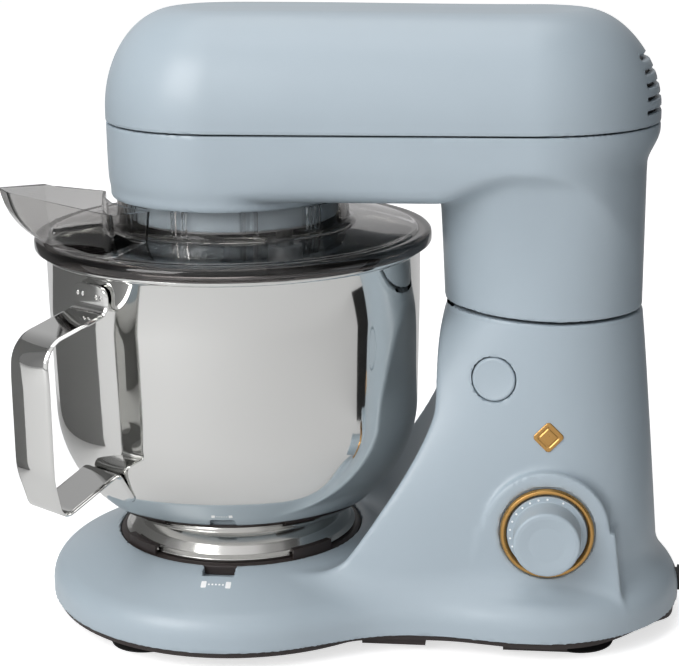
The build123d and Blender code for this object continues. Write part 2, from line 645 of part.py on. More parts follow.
with BuildPart() as motor_rotor:
    with Locations((MOTOR_X, 0, 288)):
        Cylinder(24.2, 42, align=(Align.CENTER, Align.CENTER, Align.MIN))
    with Locations((MOTOR_X, 0, SHAFT_BOTTOM)):
        Cylinder(4, 342 - SHAFT_BOTTOM, align=(Align.CENTER, Align.CENTER, Align.MIN))
finish(motor_rotor, "motor_rotor")

with BuildPart() as cooling_fan:
    with Locations((MOTOR_X, 0, 340.6)):
        Cylinder(7, 6, align=(Align.CENTER, Align.CENTER, Align.MIN))
    for blade in range(9):
        with Locations(Pos(MOTOR_X, 0, 343.6) * Rot(0, 0, 40 * blade) * Pos(16, 0, 0) * Rot(35, 0, 0)):
            Box(22, 1.4, 5)
    with Locations((MOTOR_X, 0, 336)):
        Cylinder(4, 12, align=(Align.CENTER, Align.CENTER, Align.MIN), mode=Mode.SUBTRACT)
finish(cooling_fan, "cooling_fan")

with BuildPart() as drive_pulley:
    with BuildSketch(Plane.XY.offset(PULLEY_Z)):
        with Locations((MOTOR_X, 0)):
            ring(DRIVE_R, 4)
    extrude(amount=PULLEY_H)
finish(drive_pulley, "drive_pulley")

with BuildPart() as driven_pulley:
    with BuildSketch(Plane.XY.offset(PULLEY_Z)):
        with Locations((BOWL_X, 0)):
            ring(DRIVEN_R, 6)
    extrude(amount=PULLEY_H)
    for face_z in (PULLEY_Z, PULLEY_Z + PULLEY_H - 4):
        with BuildSketch(Plane.XY.offset(face_z)):
            with Locations((BOWL_X, 0)):
                ring(DRIVEN_R - 5, 14)
        extrude(amount=4, mode=Mode.SUBTRACT)
finish(driven_pulley, "driven_pulley")

with BuildPart() as drive_belt:
    with BuildSketch(Plane.XY.offset(PULLEY_Z + 1.5)):
        for grow, mode in ((GAP + BELT_T, Mode.ADD), (GAP, Mode.SUBTRACT)):
            with Locations((BOWL_X, 0)):
                Circle(DRIVEN_R + grow, mode=mode)
            with Locations((MOTOR_X, 0)):
                Circle(DRIVE_R + grow, mode=mode)
            big, small, span = DRIVEN_R + grow, DRIVE_R + grow, MOTOR_X - BOWL_X
            lean = (big - small) / span
            rise = (1 - lean * lean) ** 0.5
            tangents = [(BOWL_X + big * lean, big * rise), (MOTOR_X + small * lean, small * rise)]
            Polygon(*tangents, *[(x, -y) for x, y in reversed(tangents)], align=None, mode=mode)
    extrude(amount=PULLEY_H - 3)
finish(drive_belt, "drive_belt")

# ---- planetary head and tool --------------------------------------------------------------
with BuildPart() as ring_gear:
    pitch_r = MODULE * RING_TEETH / 2
    with BuildSketch(Plane.XY.offset(244)):
        with Locations((BOWL_X, 0)):
            Circle(COLLAR_R - 3.8)
        with BuildSketch(mode=Mode.PRIVATE) as space:
            toothed(RING_TEETH, pitch_r - 1.2, pitch_r - 1.6, pitch_r + 2.0)
        add(Pos(BOWL_X, 0, 0) * space.sketch, mode=Mode.SUBTRACT)
    extrude(amount=NOSE_Z - 244)
finish(ring_gear, "ring_gear")

with BuildPart() as planet_pinion:
    pitch_r = MODULE * PLANET_TEETH / 2
    with BuildSketch(Plane.XY.offset(244.4)) as pinion:
        toothed(PLANET_TEETH, pitch_r - 1.7, pitch_r - 1.9, pitch_r + 1.1)
        Circle(5, mode=Mode.SUBTRACT)
    extrude(Pos(TOOL_X, 0, 0) * pinion.sketch, amount=5.6, mode=Mode.REPLACE)
finish(planet_pinion, "planet_pinion")

with BuildPart() as planetary_carrier:
    with Locations((BOWL_X, 0, 236.5)):
        Cylinder(COLLAR_R - 3.8, 7, align=(Align.CENTER, Align.CENTER, Align.MIN))
        Cylinder(10, 12, align=(Align.CENTER, Align.CENTER, Align.MIN))
    with Locations((TOOL_X, 0, 230)):
        Cylinder(11, 7, align=(Align.CENTER, Align.CENTER, Align.MIN))
    with Locations((TOOL_X, 0, 225)):
        Cylinder(8, 30, align=(Align.CENTER, Align.CENTER, Align.MIN), mode=Mode.SUBTRACT)
    with Locations((BOWL_X, 0, 238)):
        Cylinder(6, 30, align=(Align.CENTER, Align.CENTER, Align.MIN), mode=Mode.SUBTRACT)
finish(planetary_carrier, "planetary_carrier")

with BuildPart() as tool_bush:
    with BuildSketch(Plane.XY.offset(230.5)):
        with Locations((TOOL_X, 0)):
            ring(8, 5 + RUN)
    extrude(amount=12.5)
finish(tool_bush, "tool_bush")

with BuildPart() as central_shaft:
    with Locations((BOWL_X, 0, 238)):
        Cylinder(6, 44, align=(Align.CENTER, Align.CENTER, Align.MIN))
finish(central_shaft, "central_shaft")

with BuildPart() as shaft_bearings:
    for low in (251.2, 257.4):
        with BuildSketch(Plane.XY.offset(low)):
            with Locations((BOWL_X, 0)):
                ring(12, 6 + RUN)
        extrude(amount=5)
finish(shaft_bearings, "shaft_bearings")

with BuildPart() as tool_shaft:
    with Locations((TOOL_X, 0, 203)):
        Cylinder(5, 250 - 203, align=(Align.CENTER, Align.CENTER, Align.MIN))
    with BuildSketch(Plane.YZ.offset(TOOL_X - 8)):
        with Locations((0, 212)):
            Circle(1.5)
    extrude(amount=16, mode=Mode.SUBTRACT)
finish(tool_shaft, "tool_shaft")

with BuildPart() as tool_cross_pin:
    with BuildSketch(Plane.YZ.offset(TOOL_X - 8)):
        with Locations((0, 212)):
            Circle(1.5)
    extrude(amount=16)
finish(tool_cross_pin, "tool_cross_pin")

with BuildPart() as flat_beater:
    with BuildSketch(Plane.YZ.offset(TOOL_X - 4)):
        with BuildLine():
            right = FilletPolyline((0, 180), (22, 180), (64, 158), (66, 104), (30, 66), (0, 66),
                                   radius=(14, 18, 30, 16))
            mirror(right, about=Plane.YZ)
        make_face()
        with BuildLine():
            inner = FilletPolyline((4, 168), (20, 168), (55, 151), (56, 107), (27, 76), (4, 76),
                                   radius=(1, 10, 12, 24, 10, 1), close=True)
        make_face(mode=Mode.SUBTRACT)
        with BuildLine():
            mirror(inner, about=Plane.YZ)
        make_face(mode=Mode.SUBTRACT)
        with Locations((0, 104), (0, 136)):
            Rectangle(116, 8)
    extrude(amount=8)
    with Locations((TOOL_X, 0, 176)):
        Cylinder(10, 42, align=(Align.CENTER, Align.CENTER, Align.MIN))
    with Locations((TOOL_X, 0, 202.5)):
        Cylinder(5.3, 30, align=(Align.CENTER, Align.CENTER, Align.MIN), mode=Mode.SUBTRACT)
    with Locations((TOOL_X, 0, 214)):
        Box(24, 3.6, 8, mode=Mode.SUBTRACT)
finish(flat_beater, "flat_beater")
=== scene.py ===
# %% [markdown]
# # A tilt-head stand mixer
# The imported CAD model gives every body, joint and size, and this script dresses it. Shapes are
# thought out in millimetres; one factor turns them into metres when a mesh is made.

# %% Load the frame
import math
import bmesh
import bpy
import numpy as np
from mathutils import Matrix, Vector


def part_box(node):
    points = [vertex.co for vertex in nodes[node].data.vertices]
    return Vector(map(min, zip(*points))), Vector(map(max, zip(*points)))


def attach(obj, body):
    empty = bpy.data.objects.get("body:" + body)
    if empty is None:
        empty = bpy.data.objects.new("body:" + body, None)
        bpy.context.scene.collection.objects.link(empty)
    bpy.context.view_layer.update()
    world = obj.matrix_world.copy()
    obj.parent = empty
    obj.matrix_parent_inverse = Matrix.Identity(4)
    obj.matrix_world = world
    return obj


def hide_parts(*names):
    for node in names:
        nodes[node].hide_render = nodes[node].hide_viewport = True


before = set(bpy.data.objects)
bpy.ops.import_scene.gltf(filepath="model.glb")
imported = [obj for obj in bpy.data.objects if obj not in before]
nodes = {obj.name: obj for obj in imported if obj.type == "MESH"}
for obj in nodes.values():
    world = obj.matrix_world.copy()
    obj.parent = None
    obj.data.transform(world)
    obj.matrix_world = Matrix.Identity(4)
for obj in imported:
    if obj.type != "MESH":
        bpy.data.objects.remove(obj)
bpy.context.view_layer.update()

MM = 0.001

# %% [markdown]
# ## Landmarks
# The bowl's box gives the bowl axis, the base's box the floor plan, the head's box the seam,
# and so on. All are in millimetres.

# %% Landmarks from the frame
def box_mm(node):
    """Lowest and highest corner of a CAD node, in millimetres."""
    low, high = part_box(node)
    return np.array(low) / MM, np.array(high) / MM


base_low, base_high = box_mm("base_shell")
bowl_low, bowl_high = box_mm("bowl")
cover_low, cover_high = box_mm("head_top_cover")
housing_low, housing_high = box_mm("head_lower_housing")
knob_low, knob_high = box_mm("dial_knob")
bezel_high = box_mm("dial_bezel")[1]
button_low, button_high = box_mm("release_button")
foot_low = box_mm("bowl_foot_ring")[0]
collar_low, collar_high = box_mm("collar")

BOWL_X = (bowl_low[0] + bowl_high[0]) / 2
LOBE_R = BOWL_X - base_low[0]
REAR_R = 86.0
REAR_X = base_high[0] - REAR_R
SHELL_Z, SEAM_LOW = base_low[2], base_high[2]
SEAM_HIGH, COVER_Z = housing_low[2], housing_high[2]
HEAD_R = (cover_high[1] - cover_low[1]) / 2
HEAD_REAR_X = cover_high[0] - HEAD_R
HEAD_TOP_Z = cover_high[2]
NOSE_Z = collar_high[2]
UNDERSIDE_Z = NOSE_Z + 4.6
NECK_X = 119.0
GLAND_Z = 20.5
DIAL_X, DIAL_Z = (knob_low[0] + knob_high[0]) / 2, (knob_low[2] + knob_high[2]) / 2
DIAL_Y = bezel_high[1]
BUTTON_X, BUTTON_Z = (button_low[0] + button_high[0]) / 2, (button_low[2] + button_high[2]) / 2
RECESS_R, RECESS_Z = 73.0, box_mm("bowl_seat_ring")[0][2]
print("bowl axis at x", round(BOWL_X, 1), "lid seam at z", round(COVER_Z, 1))

# %% [markdown]
# ## Camera
# It stands in front of the dial side, a little to the right and above, about a metre away.

# %% Camera
def unit(v):
    return v / np.linalg.norm(v)


def add_camera(azimuth, elevation, distance, target, lens, roll):
    """A camera on a sphere about the target; angles in degrees, lengths in millimetres."""
    a, e, r = (math.radians(v) for v in (azimuth, elevation, roll))
    back = np.array([math.sin(a) * math.cos(e), -math.cos(a) * math.cos(e), math.sin(e)])
    right = np.array([math.cos(a), math.sin(a), 0.0])
    up = np.cross(back, right)
    side = math.cos(r) * right - math.sin(r) * up
    top = math.sin(r) * right + math.cos(r) * up
    place = (np.array(target) + distance * back) * MM
    data = bpy.data.cameras.new("camera")
    data.lens = lens
    data.clip_start = 0.05
    camera = bpy.data.objects.new("camera", data)
    rows = [[side[i], top[i], back[i], place[i]] for i in range(3)]
    camera.matrix_world = Matrix(rows + [[0, 0, 0, 1]])
    bpy.context.scene.collection.objects.link(camera)
    bpy.context.scene.camera = camera
    return camera


add_camera(6.74, 14.69, 1060.0, (0.3, 0.0, 166.8), 95.64, 0.65)

# %% [markdown]
# ## Studio
# A big soft box at the front left, a weak one on the right and one overhead. Polished steel
# shows only what stands around it, so the walls change with the compass, and a grey card on
# the left and a black one on the right give it something dark to mirror.

# %% Floor and lights
def linear(hex_colour):
    """sRGB hex to linear RGBA."""
    parts = [int(hex_colour[i:i + 2], 16) / 255 for i in (1, 3, 5)]
    return [p / 12.92 if p <= 0.04045 else ((p + 0.055) / 1.055) ** 2.4 for p in parts] + [1.0]


def add_node(tree, kind, settings=None, links=None):
    """Add a shader node, set its properties or sockets, and link sockets to it."""
    node = tree.nodes.new(kind)
    for name, value in (settings or {}).items():
        if name in node.inputs.keys() or isinstance(name, int):
            node.inputs[name].default_value = value
        else:
            setattr(node, name, value)
    for name, source in (links or {}).items():
        tree.links.new(source, node.inputs[name])
    return node


def link_object(name, data):
    """Put a new object with this data into the scene."""
    made = bpy.data.objects.new(name, data)
    bpy.context.scene.collection.objects.link(made)
    return made


def new_material(name):
    """An empty node material: its tree and its Principled shader."""
    material = bpy.data.materials.new(name)
    material.use_nodes = True
    return material, material.node_tree, material.node_tree.nodes["Principled BSDF"]


def add_area(name, place, look_at, size, watts, colour="#ffffff"):
    light = bpy.data.lights.new(name, "AREA")
    light.shape = "RECTANGLE"
    light.size, light.size_y = size
    light.energy = watts
    light.color = linear(colour)[:3]
    lamp = link_object(name, light)
    lamp.location = place
    lamp.rotation_euler = (Vector(look_at) - Vector(place)).to_track_quat("-Z", "Y").to_euler()


def staged_sheet(name, corners, material):
    """One flat face that belongs to the studio, not to the mixer."""
    mesh = bpy.data.meshes.new(name)
    mesh.from_pydata(corners, [], [(0, 1, 2, 3)])
    mesh.materials.append(material)
    sheet = link_object(name, mesh)
    return sheet


def paper_grain(tree, shader, scale, strength):
    """A barely visible relief of paper fibres."""
    fibres = add_node(tree, "ShaderNodeTexNoise", {"Scale": scale})
    relief = add_node(tree, "ShaderNodeBump", {"Strength": strength, "Distance": 0.0003},
                      {"Height": fibres.outputs["Fac"]})
    tree.links.new(relief.outputs["Normal"], shader.inputs["Normal"])


def add_floor():
    material, tree, shader = new_material("white_seamless_paper")
    shader.inputs["Base Color"].default_value = linear("#e6e6e6")
    shader.inputs["Emission Color"].default_value = (1.0, 1.0, 1.0, 1.0)
    seen = add_node(tree, "ShaderNodeLightPath").outputs["Is Camera Ray"]
    lift = add_node(tree, "ShaderNodeMapRange", {"To Min": 0.0, "To Max": 0.66}, {"Value": seen})
    tree.links.new(lift.outputs["Result"], shader.inputs["Emission Strength"])
    paper_grain(tree, shader, 900.0, 0.04)
    shader.inputs["Roughness"].default_value = 0.85
    staged_sheet("floor", [(-6, -6, 0), (6, -6, 0), (6, 6, 0), (-6, 6, 0)], material)


def add_card(name, start, end, height, hex_colour):
    """A standing card beside the object, which the steel mirrors and the lens doesn't see."""
    material, tree, shader = new_material(name)
    shader.inputs["Base Color"].default_value = linear(hex_colour)
    shader.inputs["Roughness"].default_value = 0.9
    paper_grain(tree, shader, 700.0, 0.05)
    corners = [(*start, 0), (*end, 0), (*end, height), (*start, height)]
    staged_sheet(name, corners, material).visible_camera = False


def add_studio_walls(stops, seen_hex):
    """Walls whose brightness changes with the compass light the scene; the lens sees paper."""
    world = bpy.data.worlds.new("studio")
    bpy.context.scene.world = world
    world.use_nodes = True
    tree = world.node_tree
    around = add_node(tree, "ShaderNodeTexGradient", {"gradient_type": "RADIAL"},
                      {"Vector": add_node(tree, "ShaderNodeTexCoord").outputs["Generated"]})
    ramp = add_node(tree, "ShaderNodeValToRGB", links={"Fac": around.outputs["Fac"]})
    for place, level in stops:
        stop = ramp.color_ramp.elements.new(place)
        stop.color = (level, level, level * 1.01, 1.0)
    for end in (ramp.color_ramp.elements[0], ramp.color_ramp.elements[-1]):
        end.color = (stops[0][1], stops[0][1], stops[0][1] * 1.01, 1.0)
    seen = add_node(tree, "ShaderNodeLightPath")
    walls = tree.nodes["Background"]
    tree.links.new(ramp.outputs["Color"], walls.inputs["Color"])
    paper = add_node(tree, "ShaderNodeBackground", {"Color": linear(seen_hex), "Strength": 1.0})
    both = add_node(tree, "ShaderNodeMixShader",
                    links={0: seen.outputs["Is Camera Ray"], 1: walls.outputs[0], 2: paper.outputs[0]})
    tree.links.new(both.outputs[0], tree.nodes["World Output"].inputs["Surface"])


# Fractions of a turn, from the left through the front and the right to the back.
add_studio_walls([(0.02, 0.22), (0.07, 0.35), (0.12, 1.0), (0.24, 0.95), (0.32, 0.8), (0.37, 0.3),
                  (0.44, 0.1), (0.6, 0.08), (0.68, 0.3), (0.78, 0.6), (0.9, 0.35), (0.98, 0.22)], "#ffffff")
add_floor()
add_card("grey_card_left", (-0.4, -0.115), (-0.42, 0.3), 0.4, "#a0a09f")
add_card("black_card_right", (0.4, -0.08), (0.42, 0.5), 0.5, "#181818")
add_area("key_left", (-1.3, -1.6, 1.4), (0, 0, 0.2), (1.2, 1.4), 31)
add_area("fill_right", (1.6, -1.5, 0.8), (0, 0, 0.2), (0.6, 1.4), 0.6)
add_area("top", (-0.2, 0.1, 1.8), (0, 0, 0.2), (1.6, 1.2), 9)
bpy.context.scene.view_settings.view_transform = "Standard"
print("camera, floor, two cards and three soft boxes")

# %% [markdown]
# ## Satin enamel
# A soft gloss with a faint orange-peel skin of about 1.5 mm waves, and nothing metallic. A
# light clear coat gives the highlight its clean edge.

# %% Enamel on the castings
def coordinates(tree, scale_mm=1.0):
    """Object coordinates, which here are real positions, with one unit per scale_mm."""
    place = add_node(tree, "ShaderNodeTexCoord")
    mapped = add_node(tree, "ShaderNodeMapping", links={"Vector": place.outputs["Object"]})
    mapped.inputs["Scale"].default_value = (1.0 / (scale_mm * MM),) * 3
    return mapped.outputs["Vector"]


def bump(tree, height, depth_mm, strength=1.0):
    """Turn a height from 0 to 1 into a normal, for a relief of that real depth."""
    return add_node(tree, "ShaderNodeBump", {"Strength": strength, "Distance": depth_mm * MM},
                    {"Height": height}).outputs["Normal"]


def mix_colours(tree, factor, low_hex, high_hex):
    """A colour between two, by a factor from a pattern."""
    mixed = add_node(tree, "ShaderNodeMix", {"data_type": "RGBA"})
    mixed.inputs[6].default_value = linear(low_hex)
    mixed.inputs[7].default_value = linear(high_hex)
    tree.links.new(factor, mixed.inputs[0])
    return mixed.outputs[2]


def spread(tree, factor, low, high):
    """Map a pattern's 0..1 to low..high."""
    mapped = add_node(tree, "ShaderNodeMapRange", {"To Min": low, "To Max": high}, {"Value": factor})
    return mapped.outputs["Result"]


def noise(tree, size_mm, detail):
    """A soft random pattern whose features are about size_mm wide."""
    pattern = add_node(tree, "ShaderNodeTexNoise", {"Scale": 1.0, "Detail": detail},
                       {"Vector": coordinates(tree, size_mm)})
    return pattern.outputs["Fac"]


def enamel(name, low_hex, high_hex, roughness):
    material, tree, shader = new_material(name)
    peel = noise(tree, 1.5, 2.0)
    cloud = noise(tree, 60.0, 3.0)
    tree.links.new(mix_colours(tree, cloud, low_hex, high_hex), shader.inputs["Base Color"])
    tree.links.new(spread(tree, peel, roughness - 0.04, roughness + 0.04), shader.inputs["Roughness"])
    tree.links.new(bump(tree, peel, 0.012), shader.inputs["Normal"])
    shader.inputs["IOR"].default_value = 1.5
    shader.inputs["Coat Weight"].default_value = 0.15
    shader.inputs["Coat Roughness"].default_value = 0.22
    return material


ENAMEL = enamel("satin_blue_grey_enamel", "#a2afb8", "#a7b4bd", 0.4)

# %% [markdown]
# ## Metals
# The bowl is a mirror but for a fine haze and a slow waviness. The gold parts are satin
# anodised, and the works inside are zinc plated, oiled or die cast.

# %% Metals
def metal(name, hex_colour, roughness, grain_mm=0.0, grain_depth=0.0, wave_depth=0.0, uneven=0.04):
    material, tree, shader = new_material(name)
    shader.inputs["Metallic"].default_value = 1.0
    shader.inputs["Base Color"].default_value = linear(hex_colour)
    smear = noise(tree, 9.0, 4.0)
    tree.links.new(spread(tree, smear, max(roughness - uneven, 0.01), roughness + uneven),
                   shader.inputs["Roughness"])
    if grain_depth:
        tree.links.new(bump(tree, noise(tree, grain_mm, 2.0), grain_depth), shader.inputs["Normal"])
    if wave_depth:
        tree.links.new(bump(tree, noise(tree, 45.0, 1.0), wave_depth), shader.inputs["Normal"])
    return material


STEEL = metal("mirror_polished_stainless_steel", "#dcdcda", 0.05, wave_depth=0.25, uneven=0.015)
STEEL_FOOT = metal("spun_stainless_steel", "#cfcecb", 0.16, uneven=0.05)
GOLD = metal("satin_gold_anodised_aluminium", "#c79a5c", 0.28, grain_mm=0.4, grain_depth=0.01)
ZINC = metal("zinc_plated_steel", "#b4b5b4", 0.3, grain_mm=0.6, grain_depth=0.01)
GEAR = metal("oiled_hobbed_steel", "#8f8f92", 0.24, grain_mm=0.8, grain_depth=0.01)
CAST = metal("bead_blasted_die_cast_aluminium", "#b9babc", 0.46, grain_mm=0.35, grain_depth=0.03)
BRONZE = metal("sintered_bronze", "#a9784a", 0.5, grain_mm=0.3, grain_depth=0.02)

# %% [markdown]
# ## Plastics and rubber
# The shield and the chute are clear with a smoke tint, and nearly black at the thick edges.
# The floor plate and inner mouldings are grained ABS, and the feet are matt rubber.

# %% Plastics and rubber
def moulded(name, low_hex, high_hex, roughness, grain_mm, grain_depth, ior=1.5):
    material, tree, shader = new_material(name)
    grain = add_node(tree, "ShaderNodeTexVoronoi", {"Scale": 1.0}, {"Vector": coordinates(tree, grain_mm)})
    cloud = noise(tree, 30.0, 3.0)
    tree.links.new(mix_colours(tree, cloud, low_hex, high_hex), shader.inputs["Base Color"])
    tree.links.new(spread(tree, cloud, roughness - 0.06, roughness + 0.06), shader.inputs["Roughness"])
    tree.links.new(bump(tree, grain.outputs["Distance"], grain_depth), shader.inputs["Normal"])
    shader.inputs["IOR"].default_value = ior
    return material


def smoke(name, hex_colour, ior):
    """Smoke-tinted clear plastic, which also lets light through to what stands in its shadow."""
    material, tree, shader = new_material(name)
    flow = noise(tree, 25.0, 1.0)
    shader.inputs["Base Color"].default_value = linear(hex_colour)
    shader.inputs["Transmission Weight"].default_value = 1.0
    shader.inputs["IOR"].default_value = ior
    tree.links.new(spread(tree, flow, 0.02, 0.05), shader.inputs["Roughness"])
    tree.links.new(bump(tree, flow, 0.06), shader.inputs["Normal"])
    shadow = add_node(tree, "ShaderNodeLightPath").outputs["Is Shadow Ray"]
    tree.links.new(spread(tree, shadow, 1.0, 0.25), shader.inputs["Alpha"])
    return material


DARK_ABS = moulded("grained_dark_abs", "#2b2423", "#332b29", 0.5, 0.9, 0.02)
BLACK_ABS = moulded("black_nylon", "#161616", "#1d1d1e", 0.45, 0.7, 0.02)
RUBBER = moulded("matt_black_rubber", "#121212", "#1b1a1a", 0.72, 0.5, 0.03)
BOARD = moulded("green_solder_mask", "#12402a", "#185035", 0.35, 1.6, 0.03)
SMOKE = smoke("smoke_tinted_polycarbonate", "#ecebea", 1.3)
SMOKE_EDGE = smoke("thick_smoke_tinted_polycarbonate", "#6f6a68", 1.45)

finishes = {
    "painted_body": ENAMEL, "polished_steel": STEEL, "gold_trim": GOLD, "smoky_plastic": SMOKE,
    "dark_plastic": DARK_ABS, "black_plastic": BLACK_ABS, "black_rubber": RUBBER, "machined_steel": ZINC,
    "gear_steel": GEAR, "cast_aluminium": CAST, "circuit_board": BOARD, "bush_bronze": BRONZE,
}
for node in nodes.values():
    for index, old in enumerate(node.data.materials):
        node.data.materials[index] = finishes[old.name.split(".")[0]]
print("finishes:", ", ".join(sorted(finishes)))

# %% [markdown]
# ## From a distance function to a mesh
# A casting is easy to say as a signed distance, negative inside and positive outside: a smooth
# minimum of two is a fillet, and a smooth maximum a rounded cut. A grid then gives one vertex
# per cell that the zero surface crosses, and Newton steps pull each vertex onto it.

# %% Blends and simple distances
def smooth_min(a, b, k):
    """The smaller of two distances, with a fillet of about radius k where they meet."""
    overlap = np.maximum(k - np.abs(a - b), 0.0)
    return np.minimum(a, b) - overlap * overlap / (4.0 * k)


def smooth_max(a, b, k):
    return -smooth_min(-a, -b, k)


def smoothstep(value, low, high):
    t = np.clip((value - low) / (high - low), 0.0, 1.0)
    return t * t * (3.0 - 2.0 * t)


def stadium_distance(x, y, x0, x1, radius):
    """Distance in plan to two half circles joined by straight sides."""
    along = np.clip(x, x0, x1)
    return np.hypot(x - along, y) - radius


def rounded_box(u, v, half_u, half_v, corner):
    """Distance in a plane to a rectangle with round corners, centred on 0, 0."""
    du = np.abs(u) - half_u + corner
    dv = np.abs(v) - half_v + corner
    return np.hypot(np.maximum(du, 0), np.maximum(dv, 0)) + np.minimum(np.maximum(du, dv), 0) - corner


# %% Grid, surface nets and Newton steps
def lines(low, high, step, *fine):
    """Grid lines from low to high, closer together inside each fine band (from, to, step)."""
    edges = sorted({low, high, *[e for a, b, _ in fine for e in (a, b) if low < e < high]})
    out = [low]
    for start, end in zip(edges, edges[1:]):
        middle = (start + end) / 2
        size = min([s for a, b, s in fine if a <= middle <= b], default=step)
        count = max(1, round((end - start) / size))
        out.extend(np.linspace(start, end, count + 1)[1:])
    return np.array(out)


def gradient(distance, points, h=0.05):
    """Numeric gradient of a distance function at n points."""
    steps = []
    for axis in range(3):
        shift = np.zeros(3)
        shift[axis] = h
        steps.append((distance(*(points + shift).T) - distance(*(points - shift).T)) / (2 * h))
    return np.stack(steps, axis=1)


def surface(distance, xs, ys, zs, newton=6):
    """Vertices, quads and normals of the zero surface of a distance function on a grid."""
    field = np.empty((len(xs), len(ys), len(zs)))
    plane_y, plane_z = np.meshgrid(ys, zs, indexing="ij")
    for i, x in enumerate(xs):
        field[i] = distance(np.full_like(plane_y, x), plane_y, plane_z)
    inside = field < 0
    count = np.zeros(tuple(n - 1 for n in field.shape))
    total = np.zeros(count.shape + (3,))
    grids = (xs, ys, zs)
    crossings = []
    for axis in range(3):
        low = [slice(None)] * 3
        high = [slice(None)] * 3
        low[axis], high[axis] = slice(None, -1), slice(1, None)
        flips = inside[tuple(low)] != inside[tuple(high)]
        spots = np.argwhere(flips)
        a = field[tuple(low)][flips]
        b = field[tuple(high)][flips]
        share = a / (a - b)
        point = np.stack([grids[k][spots[:, k]] for k in range(3)], axis=1)
        step = grids[axis][spots[:, axis] + 1] - grids[axis][spots[:, axis]]
        point[:, axis] += share * step
        crossings.append((spots, a < 0))
        others = [k for k in range(3) if k != axis]
        for back_u in (0, 1):
            for back_v in (0, 1):
                cell = spots.copy()
                cell[:, others[0]] -= back_u
                cell[:, others[1]] -= back_v
                good = np.all((cell >= 0) & (cell < count.shape), axis=1)
                where = tuple(cell[good].T)
                np.add.at(count, where, 1)
                np.add.at(total, where, point[good])
    used = count > 0
    index = np.full(count.shape, -1)
    index[used] = np.arange(used.sum())
    points = total[used] / count[used][:, None]
    cells = np.argwhere(used)
    low = np.stack([grids[k][cells[:, k]] for k in range(3)], axis=1)
    high = np.stack([grids[k][cells[:, k] + 1] for k in range(3)], axis=1)
    quads = []
    for axis, (spots, leaving) in enumerate(crossings):
        u, v = [(1, 2), (2, 0), (0, 1)][axis]
        good = (spots[:, u] > 0) & (spots[:, v] > 0)
        good = good & (spots[:, u] < count.shape[u]) & (spots[:, v] < count.shape[v])
        spots, leaving = spots[good], leaving[good]
        corners = []
        for back_u, back_v in ((1, 1), (0, 1), (0, 0), (1, 0)):
            cell = spots.copy()
            cell[:, u] -= back_u
            cell[:, v] -= back_v
            corners.append(index[tuple(cell.T)])
        quad = np.stack(corners, axis=1)
        quad[~leaving] = quad[~leaving][:, ::-1]
        quads.append(quad)
    margin = 0.25 * (high - low)
    for _ in range(newton):
        slope = gradient(distance, points)
        size = np.maximum((slope * slope).sum(axis=1), 0.05)
        points = points - (distance(*points.T) / size)[:, None] * slope
        points = np.clip(points, low - margin, high + margin)
    slope = gradient(distance, points)
    normals = slope / np.maximum(np.linalg.norm(slope, axis=1), 1e-9)[:, None]
    return points, np.concatenate(quads), normals


# %% Mesh pieces
def dress(piece, material, body, replaced):
    """Give a piece its finish and its body, and hide the CAD nodes that it stands for."""
    piece.data.materials.clear()
    piece.data.materials.append(material)
    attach(piece, body)
    if replaced:
        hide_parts(*replaced)
    return piece


def mesh_piece(name, points_mm, faces, sharp=35.0):
    """A mesh object from points in millimetres, smooth but for edges sharper than an angle."""
    mesh = bpy.data.meshes.new(name)
    points = np.asarray(points_mm, float) * MM
    if isinstance(faces, np.ndarray):
        mesh.vertices.add(len(points))
        mesh.vertices.foreach_set("co", points.ravel())
        mesh.loops.add(faces.size)
        mesh.loops.foreach_set("vertex_index", faces.astype(np.int32).ravel())
        mesh.polygons.add(len(faces))
        mesh.polygons.foreach_set("loop_start", np.arange(0, faces.size, faces.shape[1], dtype=np.int32))
        mesh.update(calc_edges=True)
        mesh.validate()
    else:
        mesh.from_pydata(points.tolist(), [], faces)
    mesh.shade_smooth()
    mesh.set_sharp_from_angle(angle=math.radians(sharp))
    return link_object(name, mesh)


def casting(name, distance, xs, ys, zs, sharp=38.0):
    """A cast or moulded piece straight from its distance function."""
    points, quads, normals = surface(distance, xs, ys, zs)
    piece = mesh_piece(name, points, quads, sharp)
    print(f"{name}: {len(quads)} quads, thinnest grid step {np.diff(xs).min():.2f} mm")
    return piece


# %% [markdown]
# ## The base and its column
# In plan: a big lobe under the bowl, a smaller one under the column, and a soft waist. The
# column is an ellipse that grows wider and squarer downwards, cut back by a bay that follows
# the bowl. A flat arch carries the dial, and a pan is sunk for the bowl.

# %% Base shell as a distance function
FILLET_BASE = 14.0
SKIRT_Z = 29.0
SKIRT_SLOPE = 0.5
CASTING_WALL = 4.8
GLAND_R, GLAND_FROM_X = 6.1, 180.0


def seam_rise(x):
    """The parting line between column and neck climbs a little towards the front."""
    return 3.4 * np.clip((128.0 - x) / 66.0, 0.0, 1.0)


def column(x, y, z):
    """The column before the bay is cut, as an approximate distance."""
    t = np.clip((SEAM_LOW - z) / 150.4, 0.0, 1.15)
    side = 51.8 + 10.5 * t
    side = side + 0.13 * smoothstep(t, 0.25, 0.75) * np.clip(NECK_X - x, 0.0, 130.0)
    rear = 56.5 + 12.8 * t ** 0.9
    front = 56.5 + 122.6 * t ** 0.95
    power = 2.0 + smoothstep(t, 0.1, 0.9)

    def level(px, py):
        reach = np.where(px < NECK_X, front, rear)
        power_here = np.where(px < NECK_X, power, 2.0 + 0.35 * smoothstep(t, 0.1, 0.9))
        sum_up = (np.abs(px - NECK_X) / reach) ** power_here + (np.abs(py) / side) ** power_here
        return np.maximum(sum_up, 1e-6) ** (1.0 / power_here)

    here = level(x, y)
    slope = np.hypot((level(x + 0.5, y) - here) / 0.5, (level(x, y + 0.5) - here) / 0.5)
    return (here - 1.0) / np.maximum(slope, 0.004)


